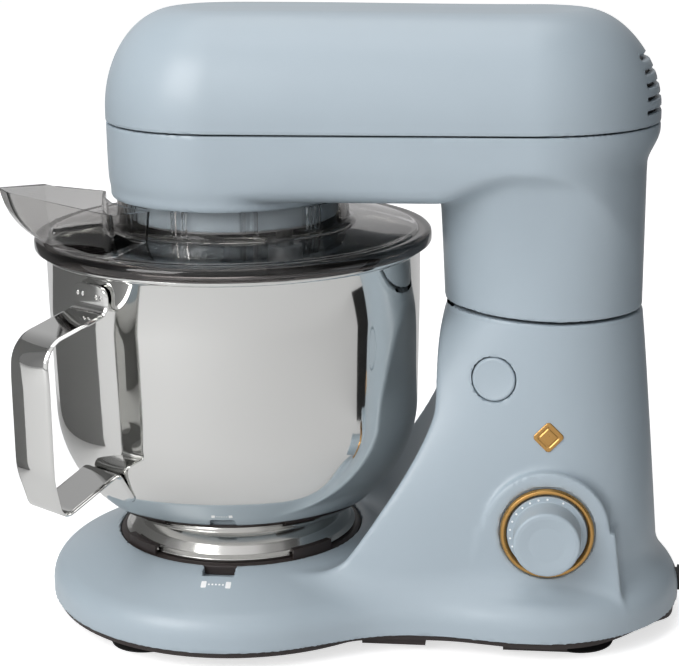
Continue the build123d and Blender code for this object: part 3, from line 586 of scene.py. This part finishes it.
def base_solid(x, y, z):
    """The outside of the base casting."""
    from_bowl = np.hypot(x - BOWL_X, y)
    plan = smooth_min(from_bowl - LOBE_R, np.hypot(x - REAR_X, y) - REAR_R, 76.0)
    skirt = smooth_max(plan, (z - SKIRT_Z + SKIRT_SLOPE * plan) / math.sqrt(1.0 + SKIRT_SLOPE ** 2), 9.0)
    skirt = smooth_max(skirt, z - 50.0, 6.0)
    bay = 128.3 - 39.3 * (np.maximum(135.0 - z, 0.0) / 99.0) ** 1.3 - 5.6 * smoothstep(z, 125.0, 186.0)
    tower = smooth_max(column(x, y, z), bay - from_bowl, 5.0)
    whole = smooth_min(skirt, tower, FILLET_BASE)
    arch = smooth_min(np.hypot(x - DIAL_X, z - DIAL_Z) - 35.0,
                      np.maximum(np.abs(x - DIAL_X) - 38.0 - 0.118 * (DIAL_Z - z), z - DIAL_Z), 3.0)
    arch = smooth_max(smooth_max(arch, DIAL_Y - y, 2.0), y, 1.0)
    whole = smooth_min(whole, arch, 3.5)
    whole = smooth_max(whole, -np.maximum(from_bowl - RECESS_R, RECESS_Z - z), 1.6)
    notch = np.maximum(rounded_box(x - BOWL_X, y + RECESS_R + 1.0, 9.0, 7.0, 2.0), RECESS_Z - z)
    whole = smooth_max(whole, -notch, 1.2)
    return smooth_max(whole, z - SEAM_LOW - seam_rise(x), 1.2)


def base_casting(x, y, z):
    """The casting hollowed from below, with its openings."""
    outside = base_solid(x, y, z)
    shell = np.maximum(outside, -(outside + CASTING_WALL))
    shell = np.maximum(shell, SHELL_Z - z)
    button = np.maximum(np.hypot(x - BUTTON_X, z - BUTTON_Z) - 12.6, y + 20.0)
    groove = np.maximum(np.hypot(x - DIAL_X, z - DIAL_Z) - 27.0, y - DIAL_Y - 1.4)
    shaft = np.maximum(np.hypot(x - DIAL_X, z - DIAL_Z) - 6.0, y)
    striker = np.maximum(rounded_box(x - 85.0, y, 17.0, 7.0, 2.0), 170.0 - z)
    gland = np.maximum(np.hypot(y, z - GLAND_Z) - GLAND_R, GLAND_FROM_X - x)
    for hole in (button, shaft, groove, striker, gland):
        shell = smooth_max(shell, -hole, 0.8)
    return shell


base_x = lines(base_low[0] - 3, base_high[0] + 3, 2.2, (BUTTON_X - 16, DIAL_X + 42, 1.3))
base_y = lines(base_low[1] - 3, base_high[1] + 3, 2.2, (base_low[1], -44, 1.5))
base_z = lines(SHELL_Z - 2, base_high[2] + 3, 2.2, (SHELL_Z - 2, SHELL_Z + 2, 1.0),
               (RECESS_Z - 3, 52, 1.2), (SEAM_LOW - 3, SEAM_LOW + 2, 0.8))
base_piece = casting("base_casting", base_casting, base_x, base_y, base_z)
dress(base_piece, ENAMEL, "base", ["base_shell"])

# %% [markdown]
# ## The head
# The lower moulding is a long tray with a round nose, whose rear end turns down into the neck.
# The upper one is the lid: its shoulders are quarter ellipses, softer at the rear, where five
# slots let the motor's air out.

# %% Lower housing and lid as distance functions
MOULD_WALL = 3.4
SHADE_SHEET_WALL = 2.2
SLOTS, SLOT_PITCH = 5, 7.0
LOWEST_SLOT_Z = COVER_Z + 8.0
NECK_FILLET = 11.0
REAR_REACH = 64.6
OVERHANG_Z = 281.0


def tray_solid(x, y, z):
    """The outside of the lower housing, without its flat top and bottom ends."""
    drawn_in = (HEAD_R - REAR_REACH) * (1.0 - smoothstep(z, 270.0, 290.0))
    behind = np.maximum(x - HEAD_REAR_X, 0.0)
    reached = np.where(x > HEAD_REAR_X, HEAD_REAR_X + behind * HEAD_R / (HEAD_R - drawn_in), x)
    below = np.clip((OVERHANG_Z - z) / (OVERHANG_Z - UNDERSIDE_Z), 0.0, 1.0)
    lean = (1.0 + 4.0 * smoothstep(x, -55.0, 5.0)) * below ** 1.5
    plan = stadium_distance(reached, y, BOWL_X, HEAD_REAR_X, HEAD_R - lean)
    under = UNDERSIDE_Z + 18.0 * smoothstep(x, 60.0, 105.0)
    beam = smooth_max(plan, under - z, 9.0)
    nose = smooth_max(np.hypot(x - BOWL_X, y) - HEAD_R + 0.6 + lean, NOSE_Z - z, 2.0)
    beam = smooth_min(beam, nose, 2.0)
    grow = np.clip((z - SEAM_HIGH) / 92.4, 0.0, 1.1)
    reach_x = 56.5 + 2.2 * grow
    reach_y = 51.8 + 19.7 * grow ** 2.2
    u, v = (x - NECK_X + 1.6 * grow) / reach_x, y / reach_y
    power = 2.0 + 1.6 * grow ** 2
    level = (np.abs(u) ** power + np.abs(v) ** power + 1e-9) ** (1.0 / power)
    slope = np.sqrt((u / reach_x) ** 2 + (v / reach_y) ** 2) / np.maximum(level, 1e-6)
    neck = (level - 1.0) / np.maximum(slope, 0.004)
    full = stadium_distance(reached, y, BOWL_X, HEAD_REAR_X, HEAD_R)
    return smooth_max(smooth_min(beam, neck, NECK_FILLET), full, 1.5)


def tray(x, y, z):
    outside = tray_solid(x, y, z)
    shell = np.maximum(outside, -(outside + MOULD_WALL))
    shell = smooth_max(shell, z - (COVER_Z - 0.4), 0.8)
    shell = smooth_max(shell, SEAM_HIGH - 0.3 + seam_rise(x) - z, 1.0)
    return smooth_max(shell, -np.maximum(np.hypot(x - BOWL_X, y) - 17.0, z - 270.0), 0.5)


def lid_solid(x, y, z):
    """The outside of the lid: an elliptical shoulder around a flat top."""
    run = stadium_distance(x, y, BOWL_X, HEAD_REAR_X, 0.0)
    behind = np.clip((x - HEAD_REAR_X) / HEAD_R, 0.0, 1.0)
    reach = 43.0 + 12.0 * behind * behind
    rise = 57.3 - 1.8 * smoothstep(x, BOWL_X, HEAD_REAR_X)
    u = np.maximum(run - HEAD_R + reach, 0.0) / reach
    v = np.maximum(z - 299.5, 0.0) / rise
    level = np.sqrt(u * u + v * v)
    slope = np.sqrt((u / reach) ** 2 + (v / rise) ** 2) / np.maximum(level, 1e-6)
    return (level - 1.0) / np.maximum(slope, 1.0 / 60.0)


def lid(x, y, z):
    outside = lid_solid(x, y, z)
    shell = np.maximum(outside, -(outside + MOULD_WALL))
    shell = smooth_max(shell, COVER_Z + 0.5 - z, 0.8)
    for row in range(SLOTS):
        half_width = 35.0 - 1.5 * row - 0.3 * row ** 2
        slot = rounded_box(y, z - LOWEST_SLOT_Z - SLOT_PITCH * row, half_width, 1.2, 1.1)
        shell = smooth_max(shell, -np.maximum(slot, HEAD_REAR_X + 30.0 - x), 0.5)
    return shell


tray_x = lines(cover_low[0] - 3, cover_high[0] + 3, 1.9)
tray_y = lines(cover_low[1] - 3, cover_high[1] + 3, 1.9)
lid_seam = (COVER_Z - 2, COVER_Z + 2, 0.8)
tray_z = lines(SEAM_HIGH - 2, COVER_Z + 2, 1.9, (SEAM_HIGH - 2, SEAM_HIGH + 2, 0.8), lid_seam)
tray_piece = casting("head_tray", tray, tray_x, tray_y, tray_z)
dress(tray_piece, ENAMEL, "head", ["head_lower_housing"])
lid_x = lines(cover_low[0] - 3, cover_high[0] + 3, 1.9, (HEAD_REAR_X + 50, cover_high[0] + 3, 1.0))
lid_z = lines(COVER_Z - 2, HEAD_TOP_Z + 3, 1.9, lid_seam, (COVER_Z + 2, COVER_Z + 35, 1.1))
lid_piece = casting("head_lid", lid, lid_x, tray_y, lid_z)
dress(lid_piece, ENAMEL, "head", ["head_top_cover"])


def slot_shade_sheet(x, y, z):
    """A dark sheet close behind the slots: painted shade for the dark inside of the head, which also hides
    the works.
    """
    outside = lid_solid(x, y, z)
    sheet = np.maximum(outside + MOULD_WALL + 0.2, -(outside + MOULD_WALL + 0.2 + SHADE_SHEET_WALL))
    sheet = smooth_max(sheet, HEAD_REAR_X + 38.0 - x, 0.3)
    return smooth_max(smooth_max(sheet, COVER_Z + 3.0 - z, 0.3), z - COVER_Z - 39.0, 0.3)


shade_sheet_x = lines(HEAD_REAR_X + 35, cover_high[0], 1.0)
shade_sheet_y = lines(-66, 66, 1.4)
shade_sheet_z = lines(COVER_Z + 1, COVER_Z + 41, 1.0)
# A black nylon sheet behind the vent slots: painted shade standing for the dark inside of the head.
slot_shade_piece = casting("painted_shade_behind_slots", slot_shade_sheet, shade_sheet_x, shade_sheet_y, shade_sheet_z)
dress(slot_shade_piece, BLACK_ABS, "head", ["vent_liner"])

# %% [markdown]
# ## Turned and pressed pieces
# Everything round is half a section spun about its axis. Its corners are rounded first,
# because a pressed edge is never sharp and the light shows it.

# %% Rounded sections and the lathe
def rounded(points, radii, steps=5):
    """A closed polygon with each corner turned into an arc of its own radius (or one for all)."""
    points = [np.array(p, float) for p in points]
    if not hasattr(radii, "__len__"):
        radii = [radii] * len(points)
    out = []
    for i, corner in enumerate(points):
        before, after = points[i - 1], points[(i + 1) % len(points)]
        to_before, to_after = unit(before - corner), unit(after - corner)
        half = math.acos(np.clip(to_before @ to_after, -1, 1)) / 2
        if radii[i] <= 0 or half > 1.56:
            out.append(corner)
            continue
        room = 0.48 * min(np.linalg.norm(before - corner), np.linalg.norm(after - corner))
        radius = min(radii[i], room * math.tan(half))
        centre = corner + unit(to_before + to_after) * radius / math.sin(half)
        start = corner + to_before * radius / math.tan(half)
        end = corner + to_after * radius / math.tan(half)
        for k in range(steps + 1):
            way = unit((start - centre) * (1 - k / steps) + (end - centre) * (k / steps))
            out.append(centre + way * radius)
    return np.array(out)


def spin(name, section, x, y, count=144, sharp=35.0):
    """Turn a closed section of (radius, z) points about the vertical line through x, y."""
    section = np.asarray(section, float)
    turns = np.linspace(0, 2 * math.pi, count, endpoint=False)
    points = np.concatenate([np.stack([x + section[:, 0] * math.cos(t), y + section[:, 0] * math.sin(t),
                                       section[:, 1]], axis=1) for t in turns])
    size = len(section)
    near = np.arange(size)
    after = (near + 1) % size
    quads = []
    for j in range(count):
        this, other = j * size, (j + 1) % count * size
        quads.append(np.stack([near + this, near + other, after + other, after + this], axis=1))
    faces = np.concatenate(quads)
    area = sum(section[i - 1, 0] * section[i, 1] - section[i, 0] * section[i - 1, 1] for i in range(size))
    if area < 0:
        faces = faces[:, ::-1]
    piece = mesh_piece(name, points, faces, sharp)
    weld(piece)
    return piece


def weld(piece):
    """Join points that lie on the axis, and drop the faces that have no width there."""
    shape = bmesh.new()
    shape.from_mesh(piece.data)
    bmesh.ops.remove_doubles(shape, verts=shape.verts, dist=1e-6)
    bmesh.ops.dissolve_degenerate(shape, edges=shape.edges, dist=1e-7)
    shape.to_mesh(piece.data)
    shape.free()


# %% [markdown]
# ## Bowl
# One drawn sheet with a wide corner and a rim rolled outwards. A spun foot is welded
# underneath, and its lugs turn under the hooks of the dark ring in the base.

# %% Bowl, foot and seat ring
def arc(centre, radius, start, end, count):
    """Points of an arc, angles in degrees."""
    turns = np.radians(np.linspace(start, end, count))
    return [(centre[0] + radius * math.cos(t), centre[1] + radius * math.sin(t)) for t in turns]


RIM_Z = bowl_high[2] - 1.8
SHEET = 1.2
CORNER = 71.0
corner_z = bowl_low[2] + CORNER
wall_out = arc((36.0, corner_z), CORNER, -90, 0, 30) + [(107.5, 150.0), (108.4, 190.0), (108.5, RIM_Z - 2.0)]
wall_in = [(107.3, RIM_Z - 4.0), (107.2, 190.0), (106.3, 150.0)]
wall_in += arc((36.0, corner_z), CORNER - SHEET, 0, -90, 30)
bowl_section = [(0.0, bowl_low[2])] + wall_out[:-1] + [(108.5, RIM_Z - 3.0)]
bowl_section += arc((109.8, RIM_Z), 1.8, 250, 540, 22) + wall_in + [(0.0, bowl_low[2] + SHEET)]
dress(spin("steel_bowl", bowl_section, BOWL_X, 0, 240, 50), STEEL, "bowl", ["bowl"])

FOOT_R = 67.2
FOOT_Z = foot_low[2]
foot_section = rounded([(FOOT_R + 1.6, FOOT_Z), (FOOT_R + 1.9, FOOT_Z + 1.4), (FOOT_R - 0.6, FOOT_Z + 3.4),
                        (FOOT_R - 3.4, FOOT_Z + 8.5), (FOOT_R - 9.0, 61.4), (FOOT_R - 9.6, 60.2),
                        (FOOT_R - 4.6, FOOT_Z + 7.6), (FOOT_R - 1.8, FOOT_Z + 2.4),
                        (FOOT_R - 0.4, FOOT_Z)], [0.3, 0.5, 2.5, 6, 0.3, 0.3, 6, 2.5, 0.3])


def bands(rings, size, closed=False):
    """Quads that join each ring of points to the next, and the last to the first if closed."""
    faces = []
    for j in range(rings if closed else rings - 1):
        k = (j + 1) % rings
        for i in range(size):
            faces.append([j * size + i, k * size + i, k * size + (i + 1) % size, j * size + (i + 1) % size])
    return faces


def arc_block(name, section, x, y, start, end, count=16):
    """A section of (radius, z) points swept over part of a turn, closed at both ends."""
    section = np.asarray(section, float)
    turns = np.radians(np.linspace(start, end, count))
    rings = [[(x + r * math.cos(t), y + r * math.sin(t), z) for r, z in section] for t in turns]
    size = len(section)
    faces = bands(count, size)
    faces.append(list(range(size))[::-1])
    faces.append([(count - 1) * size + i for i in range(size)])
    piece = mesh_piece(name, [p for ring in rings for p in ring], faces)
    return fix_normals(piece)


def fix_normals(piece):
    """Point all faces of a closed piece outwards."""
    shape = bmesh.new()
    shape.from_mesh(piece.data)
    bmesh.ops.recalc_face_normals(shape, faces=shape.faces)
    shape.to_mesh(piece.data)
    shape.free()
    return piece


def join(name, pieces):
    """One object from several that are one part in real life."""
    shape = bmesh.new()
    for piece in pieces:
        shape.from_mesh(piece.data)
        bpy.data.objects.remove(piece)
    mesh = bpy.data.meshes.new(name)
    shape.to_mesh(mesh)
    shape.free()
    return link_object(name, mesh)


foot_parts = [spin("foot", foot_section, BOWL_X, 0, 180)]
lug = rounded([(FOOT_R + 1.2, 49.2), (FOOT_R + 2.9, 49.2), (FOOT_R + 2.9, 50.8), (FOOT_R + 1.2, 50.8)], 0.4)
for turn in range(4):
    foot_parts.append(arc_block("lug", lug, BOWL_X, 0, 35 + 90 * turn, 55 + 90 * turn))
dress(join("bowl_foot", foot_parts), STEEL_FOOT, "bowl", ["bowl_foot_ring"])

seat_top = foot_low[2] - 0.3
seat_section = rounded([(30, RECESS_Z), (RECESS_R - 0.4, RECESS_Z), (RECESS_R - 0.4, seat_top - 1),
                        (70.5, seat_top), (62.0, seat_top), (60.0, seat_top - 1.5), (32, seat_top - 1.5),
                        (30, seat_top - 1.5)], [0, 0, 0.8, 0.5, 0.6, 0.6, 0.3, 0.5])
seat_parts = [spin("seat", seat_section, BOWL_X, 0, 180)]
hook = rounded([(70.8, seat_top - 1), (72.2, seat_top - 1), (72.2, 53.5), (68.0, 53.5), (68.0, 51.6),
                (70.8, 51.6)], 0.45)
for turn in range(4):
    seat_parts.append(arc_block("hook", hook, BOWL_X, 0, 34 + 90 * turn, 56 + 90 * turn))
dress(join("bowl_lock_ring", seat_parts), DARK_ABS, "base", ["bowl_seat_ring"])

# %% [markdown]
# ## Handle
# A strip of steel, flat on the wall at the top, that runs out, turns down into a crowned grip
# and comes back to a flange on the bowl's corner. It is swept along its centre line.

# %% Handle strip
HANDLE_DEG = 234.5
STRIP = 2.4
handle_line = rounded([(109.9, 215), (109.9, 200.5), (153.5, 190.5), (153.5, 118), (147.0, 93.0),
                       (106.5, 108.5), (94.6, 88.5)], [0, 6, 15, 45, 7, 4, 0], 9)


def resample(line, gap):
    """Evenly spaced points on a polyline."""
    steps = np.linalg.norm(np.diff(line, axis=0), axis=1)
    keep = np.concatenate([[True], steps > 1e-6])
    line = line[keep]
    along = np.concatenate([[0.0], np.cumsum(np.linalg.norm(np.diff(line, axis=0), axis=1))])
    spots = np.linspace(0, along[-1], int(along[-1] / gap) + 1)
    return np.stack([np.interp(spots, along, line[:, k]) for k in range(2)], axis=1), spots


def strip_piece(name, line, half_width, crown, thick):
    """Sweep a strip along a line in a radial plane; half_width and crown vary along it."""
    path, spots = resample(line, 1.2)
    heading = np.gradient(path, axis=0)
    heading /= np.linalg.norm(heading, axis=1)[:, None]
    outward = np.stack([-heading[:, 1], heading[:, 0]], axis=1)
    side = np.linspace(-1, 1, 23)
    radial = np.array([math.cos(math.radians(HANDLE_DEG)), math.sin(math.radians(HANDLE_DEG))])
    across = np.array([-radial[1], radial[0]])
    rings = []
    for k, spot in enumerate(spots):
        half, rise = half_width(spot / spots[-1]), crown(spot / spots[-1])
        end = math.sqrt(max(0.0, 1 - max(0.0, 1 - min(spot, spots[-1] - spot) / 6.0) ** 2))
        half = half - 6.0 * (1 - end)
        bevel = thick / half * 0.5
        past = np.maximum(np.abs(side) - 1 + bevel, 0)
        edge = np.sqrt(np.clip(1 - past ** 2 / bevel ** 2, 0, 1))
        lift = rise * (1 - side ** 2)
        upper = lift + thick * 0.5 * np.maximum(edge, 0.15)
        lower = lift - thick * 0.5 * np.maximum(edge, 0.15)
        ring = []
        for offset, w in list(zip(upper, side)) + list(zip(lower[::-1], side[::-1])):
            r, z = path[k] + outward[k] * offset
            spot_xy = np.array([BOWL_X, 0.0]) + radial * r + across * w * half
            ring.append((*spot_xy, z))
        rings.append(ring)
    size = len(rings[0])
    faces = bands(len(rings), size)
    faces.append(list(range(size)))
    faces.append([(len(rings) - 1) * size + i for i in range(size)])
    return fix_normals(mesh_piece(name, [p for ring in rings for p in ring], faces, 50))


def grip_share(t):
    """1 along the grip, 0 on the plates."""
    return float(smoothstep(np.array(t), 0.24, 0.36) * (1 - smoothstep(np.array(t), 0.56, 0.68)))


handle = strip_piece("handle", handle_line, lambda t: 14.5 + 1.5 * grip_share(t),
                     lambda t: 2.2 * grip_share(t), STRIP)
welds = []
for across_mm, z_mm in ((-9.5, 209.5), (-5.5, 209.5), (5.5, 208.8), (9.5, 208.8)):
    angle = math.radians(HANDLE_DEG)
    normal = Vector((math.cos(angle), math.sin(angle), 0))
    spot = Vector((BOWL_X, 0, z_mm)) + normal * 111.0 + Vector((-normal.y, normal.x, 0)) * across_mm
    dimple = spin("weld", rounded([(0, 0), (1.35, 0), (1.35, 0.4), (0, 0.75)], [0, 0, 0.3, 0]), 0, 0, 24)
    outwards = normal.to_track_quat("Z", "Y").to_matrix().to_4x4()
    dimple.data.transform(Matrix.Translation(spot * MM) @ outwards)
    welds.append(dimple)
dress(join("bowl_strip_handle", [handle, *welds]), STEEL, "bowl", ["bowl_handle"])
print("bowl, foot, lock ring and handle")

# %% [markdown]
# ## Splash shield
# A clear ring with a thick rolled edge and a slotted collar that clips on the head. It is spun
# like the bowl, but the deck is left out where the chute pours in, and the cut is closed.

# %% Shield
CHUTE_DEG, CHUTE_OPEN = 213.0, 24.0
DECK_IN, DECK_OUT = 73.0, 104.0
shield_section = [
    (113.0, 222.8), (113.6, 222.4), (114.7, 222.5), (115.2, 223.4), (115.2, 226.6), (114.9, 228.2),
    (113.9, 229.4), (112.0, 229.9), (109.5, 229.3), (107.6, 229.4), (106.2, 230.3), (DECK_OUT, 230.9),
    (95.0, 231.9), (86.0, 232.9), (DECK_IN, 233.9), (69.6, 234.3), (68.0, 235.6), (67.4, 238.0),
    (66.7, 250.0), (66.0, 250.4), (65.3, 250.0), (65.8, 238.0), (66.1, 234.4), (67.2, 232.7),
    (69.6, 232.2), (DECK_IN, 231.8), (86.0, 230.8), (95.0, 229.8), (DECK_OUT, 228.7), (106.0, 228.2),
    (108.0, 227.4), (109.0, 226.2), (109.3, 224.9), (110.2, 224.5), (112.4, 224.3), (112.9, 223.8)]


def deck_ring(name, section, x, y, count, open_from, open_to, inner, outer):
    """Spin a closed section, leaving out the part between two radii over an arc."""
    section = np.asarray(section, float)
    turns = np.linspace(0, 360, count, endpoint=False)
    size = len(section)
    points = [(x + r * math.cos(math.radians(t)), y + r * math.sin(math.radians(t)), z)
              for t in turns for r, z in section]
    deck = [i for i in range(size) if inner <= section[i, 0] <= outer]
    on_deck = [i in deck and (i + 1) % size in deck for i in range(size)]
    top_in, bottom_in = [i for i in deck if section[i, 0] == inner]
    top_out, bottom_out = [i for i in deck if section[i, 0] == outer]
    faces = []
    for j in range(count):
        k = (j + 1) % count
        is_open = open_from <= turns[j] < open_to
        for i in range(size):
            n = (i + 1) % size
            if not (is_open and on_deck[i]):
                faces.append([j * size + i, k * size + i, k * size + n, j * size + n])
        if is_open:
            for top, bottom in ((top_in, bottom_in), (top_out, bottom_out)):
                faces.append([j * size + top, k * size + top, k * size + bottom, j * size + bottom])
    for border in (open_from, open_to):
        j = int(np.argmin(np.abs(turns - border)))
        faces.append([j * size + i for i in deck])
    return fix_normals(mesh_piece(name, points, faces, 40))


shield = deck_ring("shield", shield_section, BOWL_X, 0, 360, CHUTE_DEG - CHUTE_OPEN,
                   CHUTE_DEG + CHUTE_OPEN, DECK_IN, DECK_OUT)
ribs = []
for turn in range(10):
    for side in (-1, 1):
        rib = rounded([(62.2, 236.0), (65.5, 236.0), (65.3, 249.6), (62.2, 249.6)], 0.5)
        middle = 36 * turn + 3.0 * side
        ribs.append(arc_block("rib", rib, BOWL_X, 0, middle - 0.7, middle + 0.7, 4))
whole_shield = join("clear_splash_shield", [shield, *ribs])
dress(whole_shield, SMOKE, "head", ["splash_shield"])
whole_shield.data.materials.append(SMOKE_EDGE)
for face in whole_shield.data.polygons:
    reach = math.hypot(face.center.x / MM - BOWL_X, face.center.y / MM)
    face.material_index = int(reach > 107.0)

# %% [markdown]
# ## Pouring chute
# A thin-walled beak. Its foot stands on the shield, its mouth is wider and runs out to a lip,
# and inner and outer walls are made the same way and joined at both edges.

# %% Chute
def chute_loop(share, inset):
    """Plan of the chute from foot (0) to mouth (1), with each corner rounded."""
    spread_in, reach = 28 + 2 * share, 108 + 2 * share
    lip = 112 + 24.5 * share + 5 * math.sin(math.pi * share)
    corners = [(74 + inset, a * (spread_in - inset) / 2) for a in (2, 1, 0, -1, -2)]
    corners += [(reach - inset, inset - 30.0), (lip - inset, -4.0), (lip - inset, 4.0),
                (reach - inset, 30.0 - inset)]
    flat = [(BOWL_X + r * math.cos(math.radians(CHUTE_DEG + a)), r * math.sin(math.radians(CHUTE_DEG + a)))
            for r, a in corners]
    return rounded(flat, [3 - inset, 0, 0, 0, 3 - inset, 5 - inset, 9 - inset, 9 - inset, 5 - inset], 4)


def rim_height(radius):
    return float(np.interp(radius, (70, 106, 150), (250.4, 254.0, 268.0)))


def chute_wall(inset, levels):
    rings = []
    for share in levels:
        loop = chute_loop(share, inset)
        ring = []
        for px, py in loop:
            radius = math.hypot(px - BOWL_X, py)
            foot = float(np.interp(radius, (74, 104, 109, 115), (234.1, 231.1, 229.6, 230.2)))
            ring.append((px, py, foot + share * (rim_height(radius) - foot)))
        rings.append(ring)
    return rings


def chute_piece(name, wall):
    levels = np.linspace(0, 1, 15)
    outer, inner = chute_wall(0.0, levels), chute_wall(wall, levels)
    rings = outer + inner[::-1]
    size = len(outer[0])
    points = [p for ring in rings for p in ring]
    return fix_normals(mesh_piece(name, points, bands(len(rings), size, True), 50))


dress(chute_piece("clear_pouring_chute", 1.6), SMOKE, "head", ["pouring_chute"])
print("shield and chute")

# %% [markdown]
# ## Collar
# Between the head and the shield sits an enamelled collar. It is turned, with a small step
# where the shield's clips take hold and shallow flutes around it.

# %% Collar
def collar_solid(x, y, z):
    radius, turn = np.hypot(x - BOWL_X, y), np.arctan2(y, x - BOWL_X)
    inner, outer = 57.8, 61.3 - 0.9 * smoothstep(np.cos(10 * turn + 0.3), 0.86, 0.94)
    tube = smooth_max(radius - outer, inner - radius, 0.4)
    return smooth_max(smooth_max(tube, collar_low[2] - z, 1.2), z - collar_high[2], 0.3)


around_bowl = lines(BOWL_X - 64, BOWL_X + 64, 1.25)
collar = casting("fluted_collar", collar_solid, around_bowl, around_bowl - BOWL_X,
                 lines(collar_low[2] - 2, collar_high[2] + 2, 1.0))
dress(collar, ENAMEL, "head", ["collar"])

# %% [markdown]
# ## Dial
# A thin flange carries the scale, and a drum with a dished face stands proud of it. Around it
# lies a bevelled gold ring. All are turned, then laid over to face the front.

# %% Knob, scale dots and gold ring
def facing_front(piece, x, y, z):
    """Lay a piece turned about the vertical at the origin over, so that it faces -Y at x, y, z."""
    lay_over = Matrix.Translation(Vector((x, y, z)) * MM) @ Matrix.Rotation(math.radians(90), 4, "X")
    piece.data.transform(lay_over)
    return piece


ring_section = rounded([(22.75, 0.0), (26.3, 0.0), (26.3, 1.4), (25.5, 2.9), (24.0, 3.2), (22.75, 1.2)],
                       [0, 0, 0.3, 0.5, 0.6, 0.2])
gold_ring = facing_front(spin("gold_dial_ring", ring_section, 0, 0, 192, 50), DIAL_X, DIAL_Y, DIAL_Z)
dress(gold_ring, GOLD, "base", ["dial_bezel"])

FLANGE_TOP = 2.7
DOTS_R = 20.6
KNOB_TOP = DIAL_Y - knob_low[1]
knob_section = rounded([(0, 0.6), (22.2, 0.6), (22.2, FLANGE_TOP), (18.9, FLANGE_TOP), (18.4, KNOB_TOP),
                        (15.4, KNOB_TOP), (10.0, KNOB_TOP - 0.7), (0, KNOB_TOP - 0.9)],
                       [0, 0, 0.4, 0.6, 2.4, 0.8, 6, 0], 7)
knob = facing_front(spin("dial", knob_section, 0, 0, 192), DIAL_X, DIAL_Y, DIAL_Z)
dress(knob, ENAMEL, "dial", ["dial_knob"])

WHITE_INK = moulded("white_pad_printed_ink", "#f2f4f4", "#fbfbfb", 0.5, 0.4, 0.005)
dots = []
for turn in [-25] + [14 * k for k in range(13)]:
    angle = math.radians(90 + turn)
    dot = spin("dot", rounded([(0, 0), (0.62, 0), (0.55, 0.06), (0, 0.08)], [0, 0, 0.02, 0]), 0, 0, 20)
    spot = Vector((DOTS_R * math.cos(angle), DOTS_R * math.sin(angle), FLANGE_TOP))
    dot.data.transform(Matrix.Translation(spot * MM))
    dots.append(dot)
scale_dots = facing_front(join("dial_scale_dots", dots), DIAL_X, DIAL_Y, DIAL_Z)
dress(scale_dots, WHITE_INK, "dial", [])

# %% [markdown]
# ## Release button
# The button's face follows the column's curve and is dished for a thumb, so it is cut from
# the column's own distance function: the same surface, lowered a little, inside a cylinder.

# %% Release button
def button_solid(x, y, z):
    radius = np.hypot(x - BUTTON_X, z - BUTTON_Z)
    dish = 0.1 + 1.1 * np.clip(1.0 - (radius / 10.8) ** 2, 0.0, 1.0) ** 0.8
    face = smooth_max(base_solid(x, y, z) + dish, radius - 12.1, 1.6)
    body = smooth_max(face, y + 46.0, 0.5)
    stem = np.maximum(np.maximum(radius - 4.0, y + 25.0), -47.0 - y)
    return np.minimum(body, stem)


button = casting("release_thumb_button", button_solid, lines(BUTTON_X - 13, BUTTON_X + 13, 0.6),
                 lines(base_low[1] * 0.5, -24, 0.7), lines(BUTTON_Z - 13, BUTTON_Z + 13, 0.6))
dress(button, ENAMEL, "release", ["release_button"])

# %% [markdown]
# ## Badge and lock marks
# A plain gold lozenge, and two white squares joined by dots in front of the bowl. Both lie on
# curved enamel, so their place is found by walking inwards until the distance is zero.

# %% Lozenge and marks
def walk_to_base(point, axis, way):
    """Where a line along one axis first meets the base casting."""
    for _ in range(60):
        gap = float(base_solid(*(np.array([v]) for v in point))[0])
        point[axis] += 0.9 * gap * way
        if abs(gap) < 0.005:
            break
    return point[axis]


badge_low, badge_high = box_mm("badge")
badge_x, badge_z = (badge_low[0] + badge_high[0]) / 2, (badge_low[2] + badge_high[2]) / 2


def badge_solid(x, y, z):
    along = (x - badge_x + z - badge_z) / math.sqrt(2)
    across = (x - badge_x - z + badge_z) / math.sqrt(2)
    outline = rounded_box(along, across, 6.5, 6.5, 2.2)
    frame_line = np.abs(rounded_box(along, across, 4.1, 4.1, 1.2)) - 0.45
    relief = base_solid(x, y, z) - 0.75 + 0.35 * smoothstep(-frame_line, -0.2, 0.2)
    plate = smooth_max(outline, relief, 0.5)
    return np.maximum(plate, -base_solid(x, y, z) - 0.3)


badge_y = walk_to_base([badge_x, -100.0, badge_z], 1, 1)
badge = casting("gold_lozenge", badge_solid, lines(badge_x - 10, badge_x + 10, 0.3),
                lines(badge_y - 2.5, badge_y + 3, 0.3), lines(badge_z - 10, badge_z + 10, 0.3))
dress(badge, GOLD, "base", ["badge"])


def mark_on_base(name, outline):
    """A thin printed patch on the top of the base, from a plan outline."""
    top = [(x, y, walk_to_base([x, y, 60.0], 2, -1) + 0.12) for x, y in outline]
    under = [(x, y, z - 0.3) for x, y, z in top]
    size = len(outline)
    faces = [list(range(size)), list(range(2 * size - 1, size - 1, -1))]
    faces += [[i, i + size, (i + 1) % size + size, (i + 1) % size] for i in range(size)]
    return fix_normals(mesh_piece(name, top + under, faces))


def box_outline(x, y, half_x, half_y):
    """Corners of a rectangle around a point."""
    return [(x - half_x, y - half_y), (x + half_x, y - half_y), (x + half_x, y + half_y),
            (x - half_x, y + half_y)]


marks = []
mark_y = -RECESS_R - 14.5
for middle in (BOWL_X - 7.0, BOWL_X + 7.0):
    marks.append(mark_on_base("square", rounded(box_outline(middle, mark_y, 1.5, 2.1), 0.5, 3)))
for k in range(5):
    marks.append(mark_on_base("dash", box_outline(BOWL_X - 4.0 + 2.0 * k, mark_y, 0.5, 0.45)))
dress(join("bowl_lock_marks", marks), WHITE_INK, "base", [])
print("collar, dial, button, lozenge and marks")
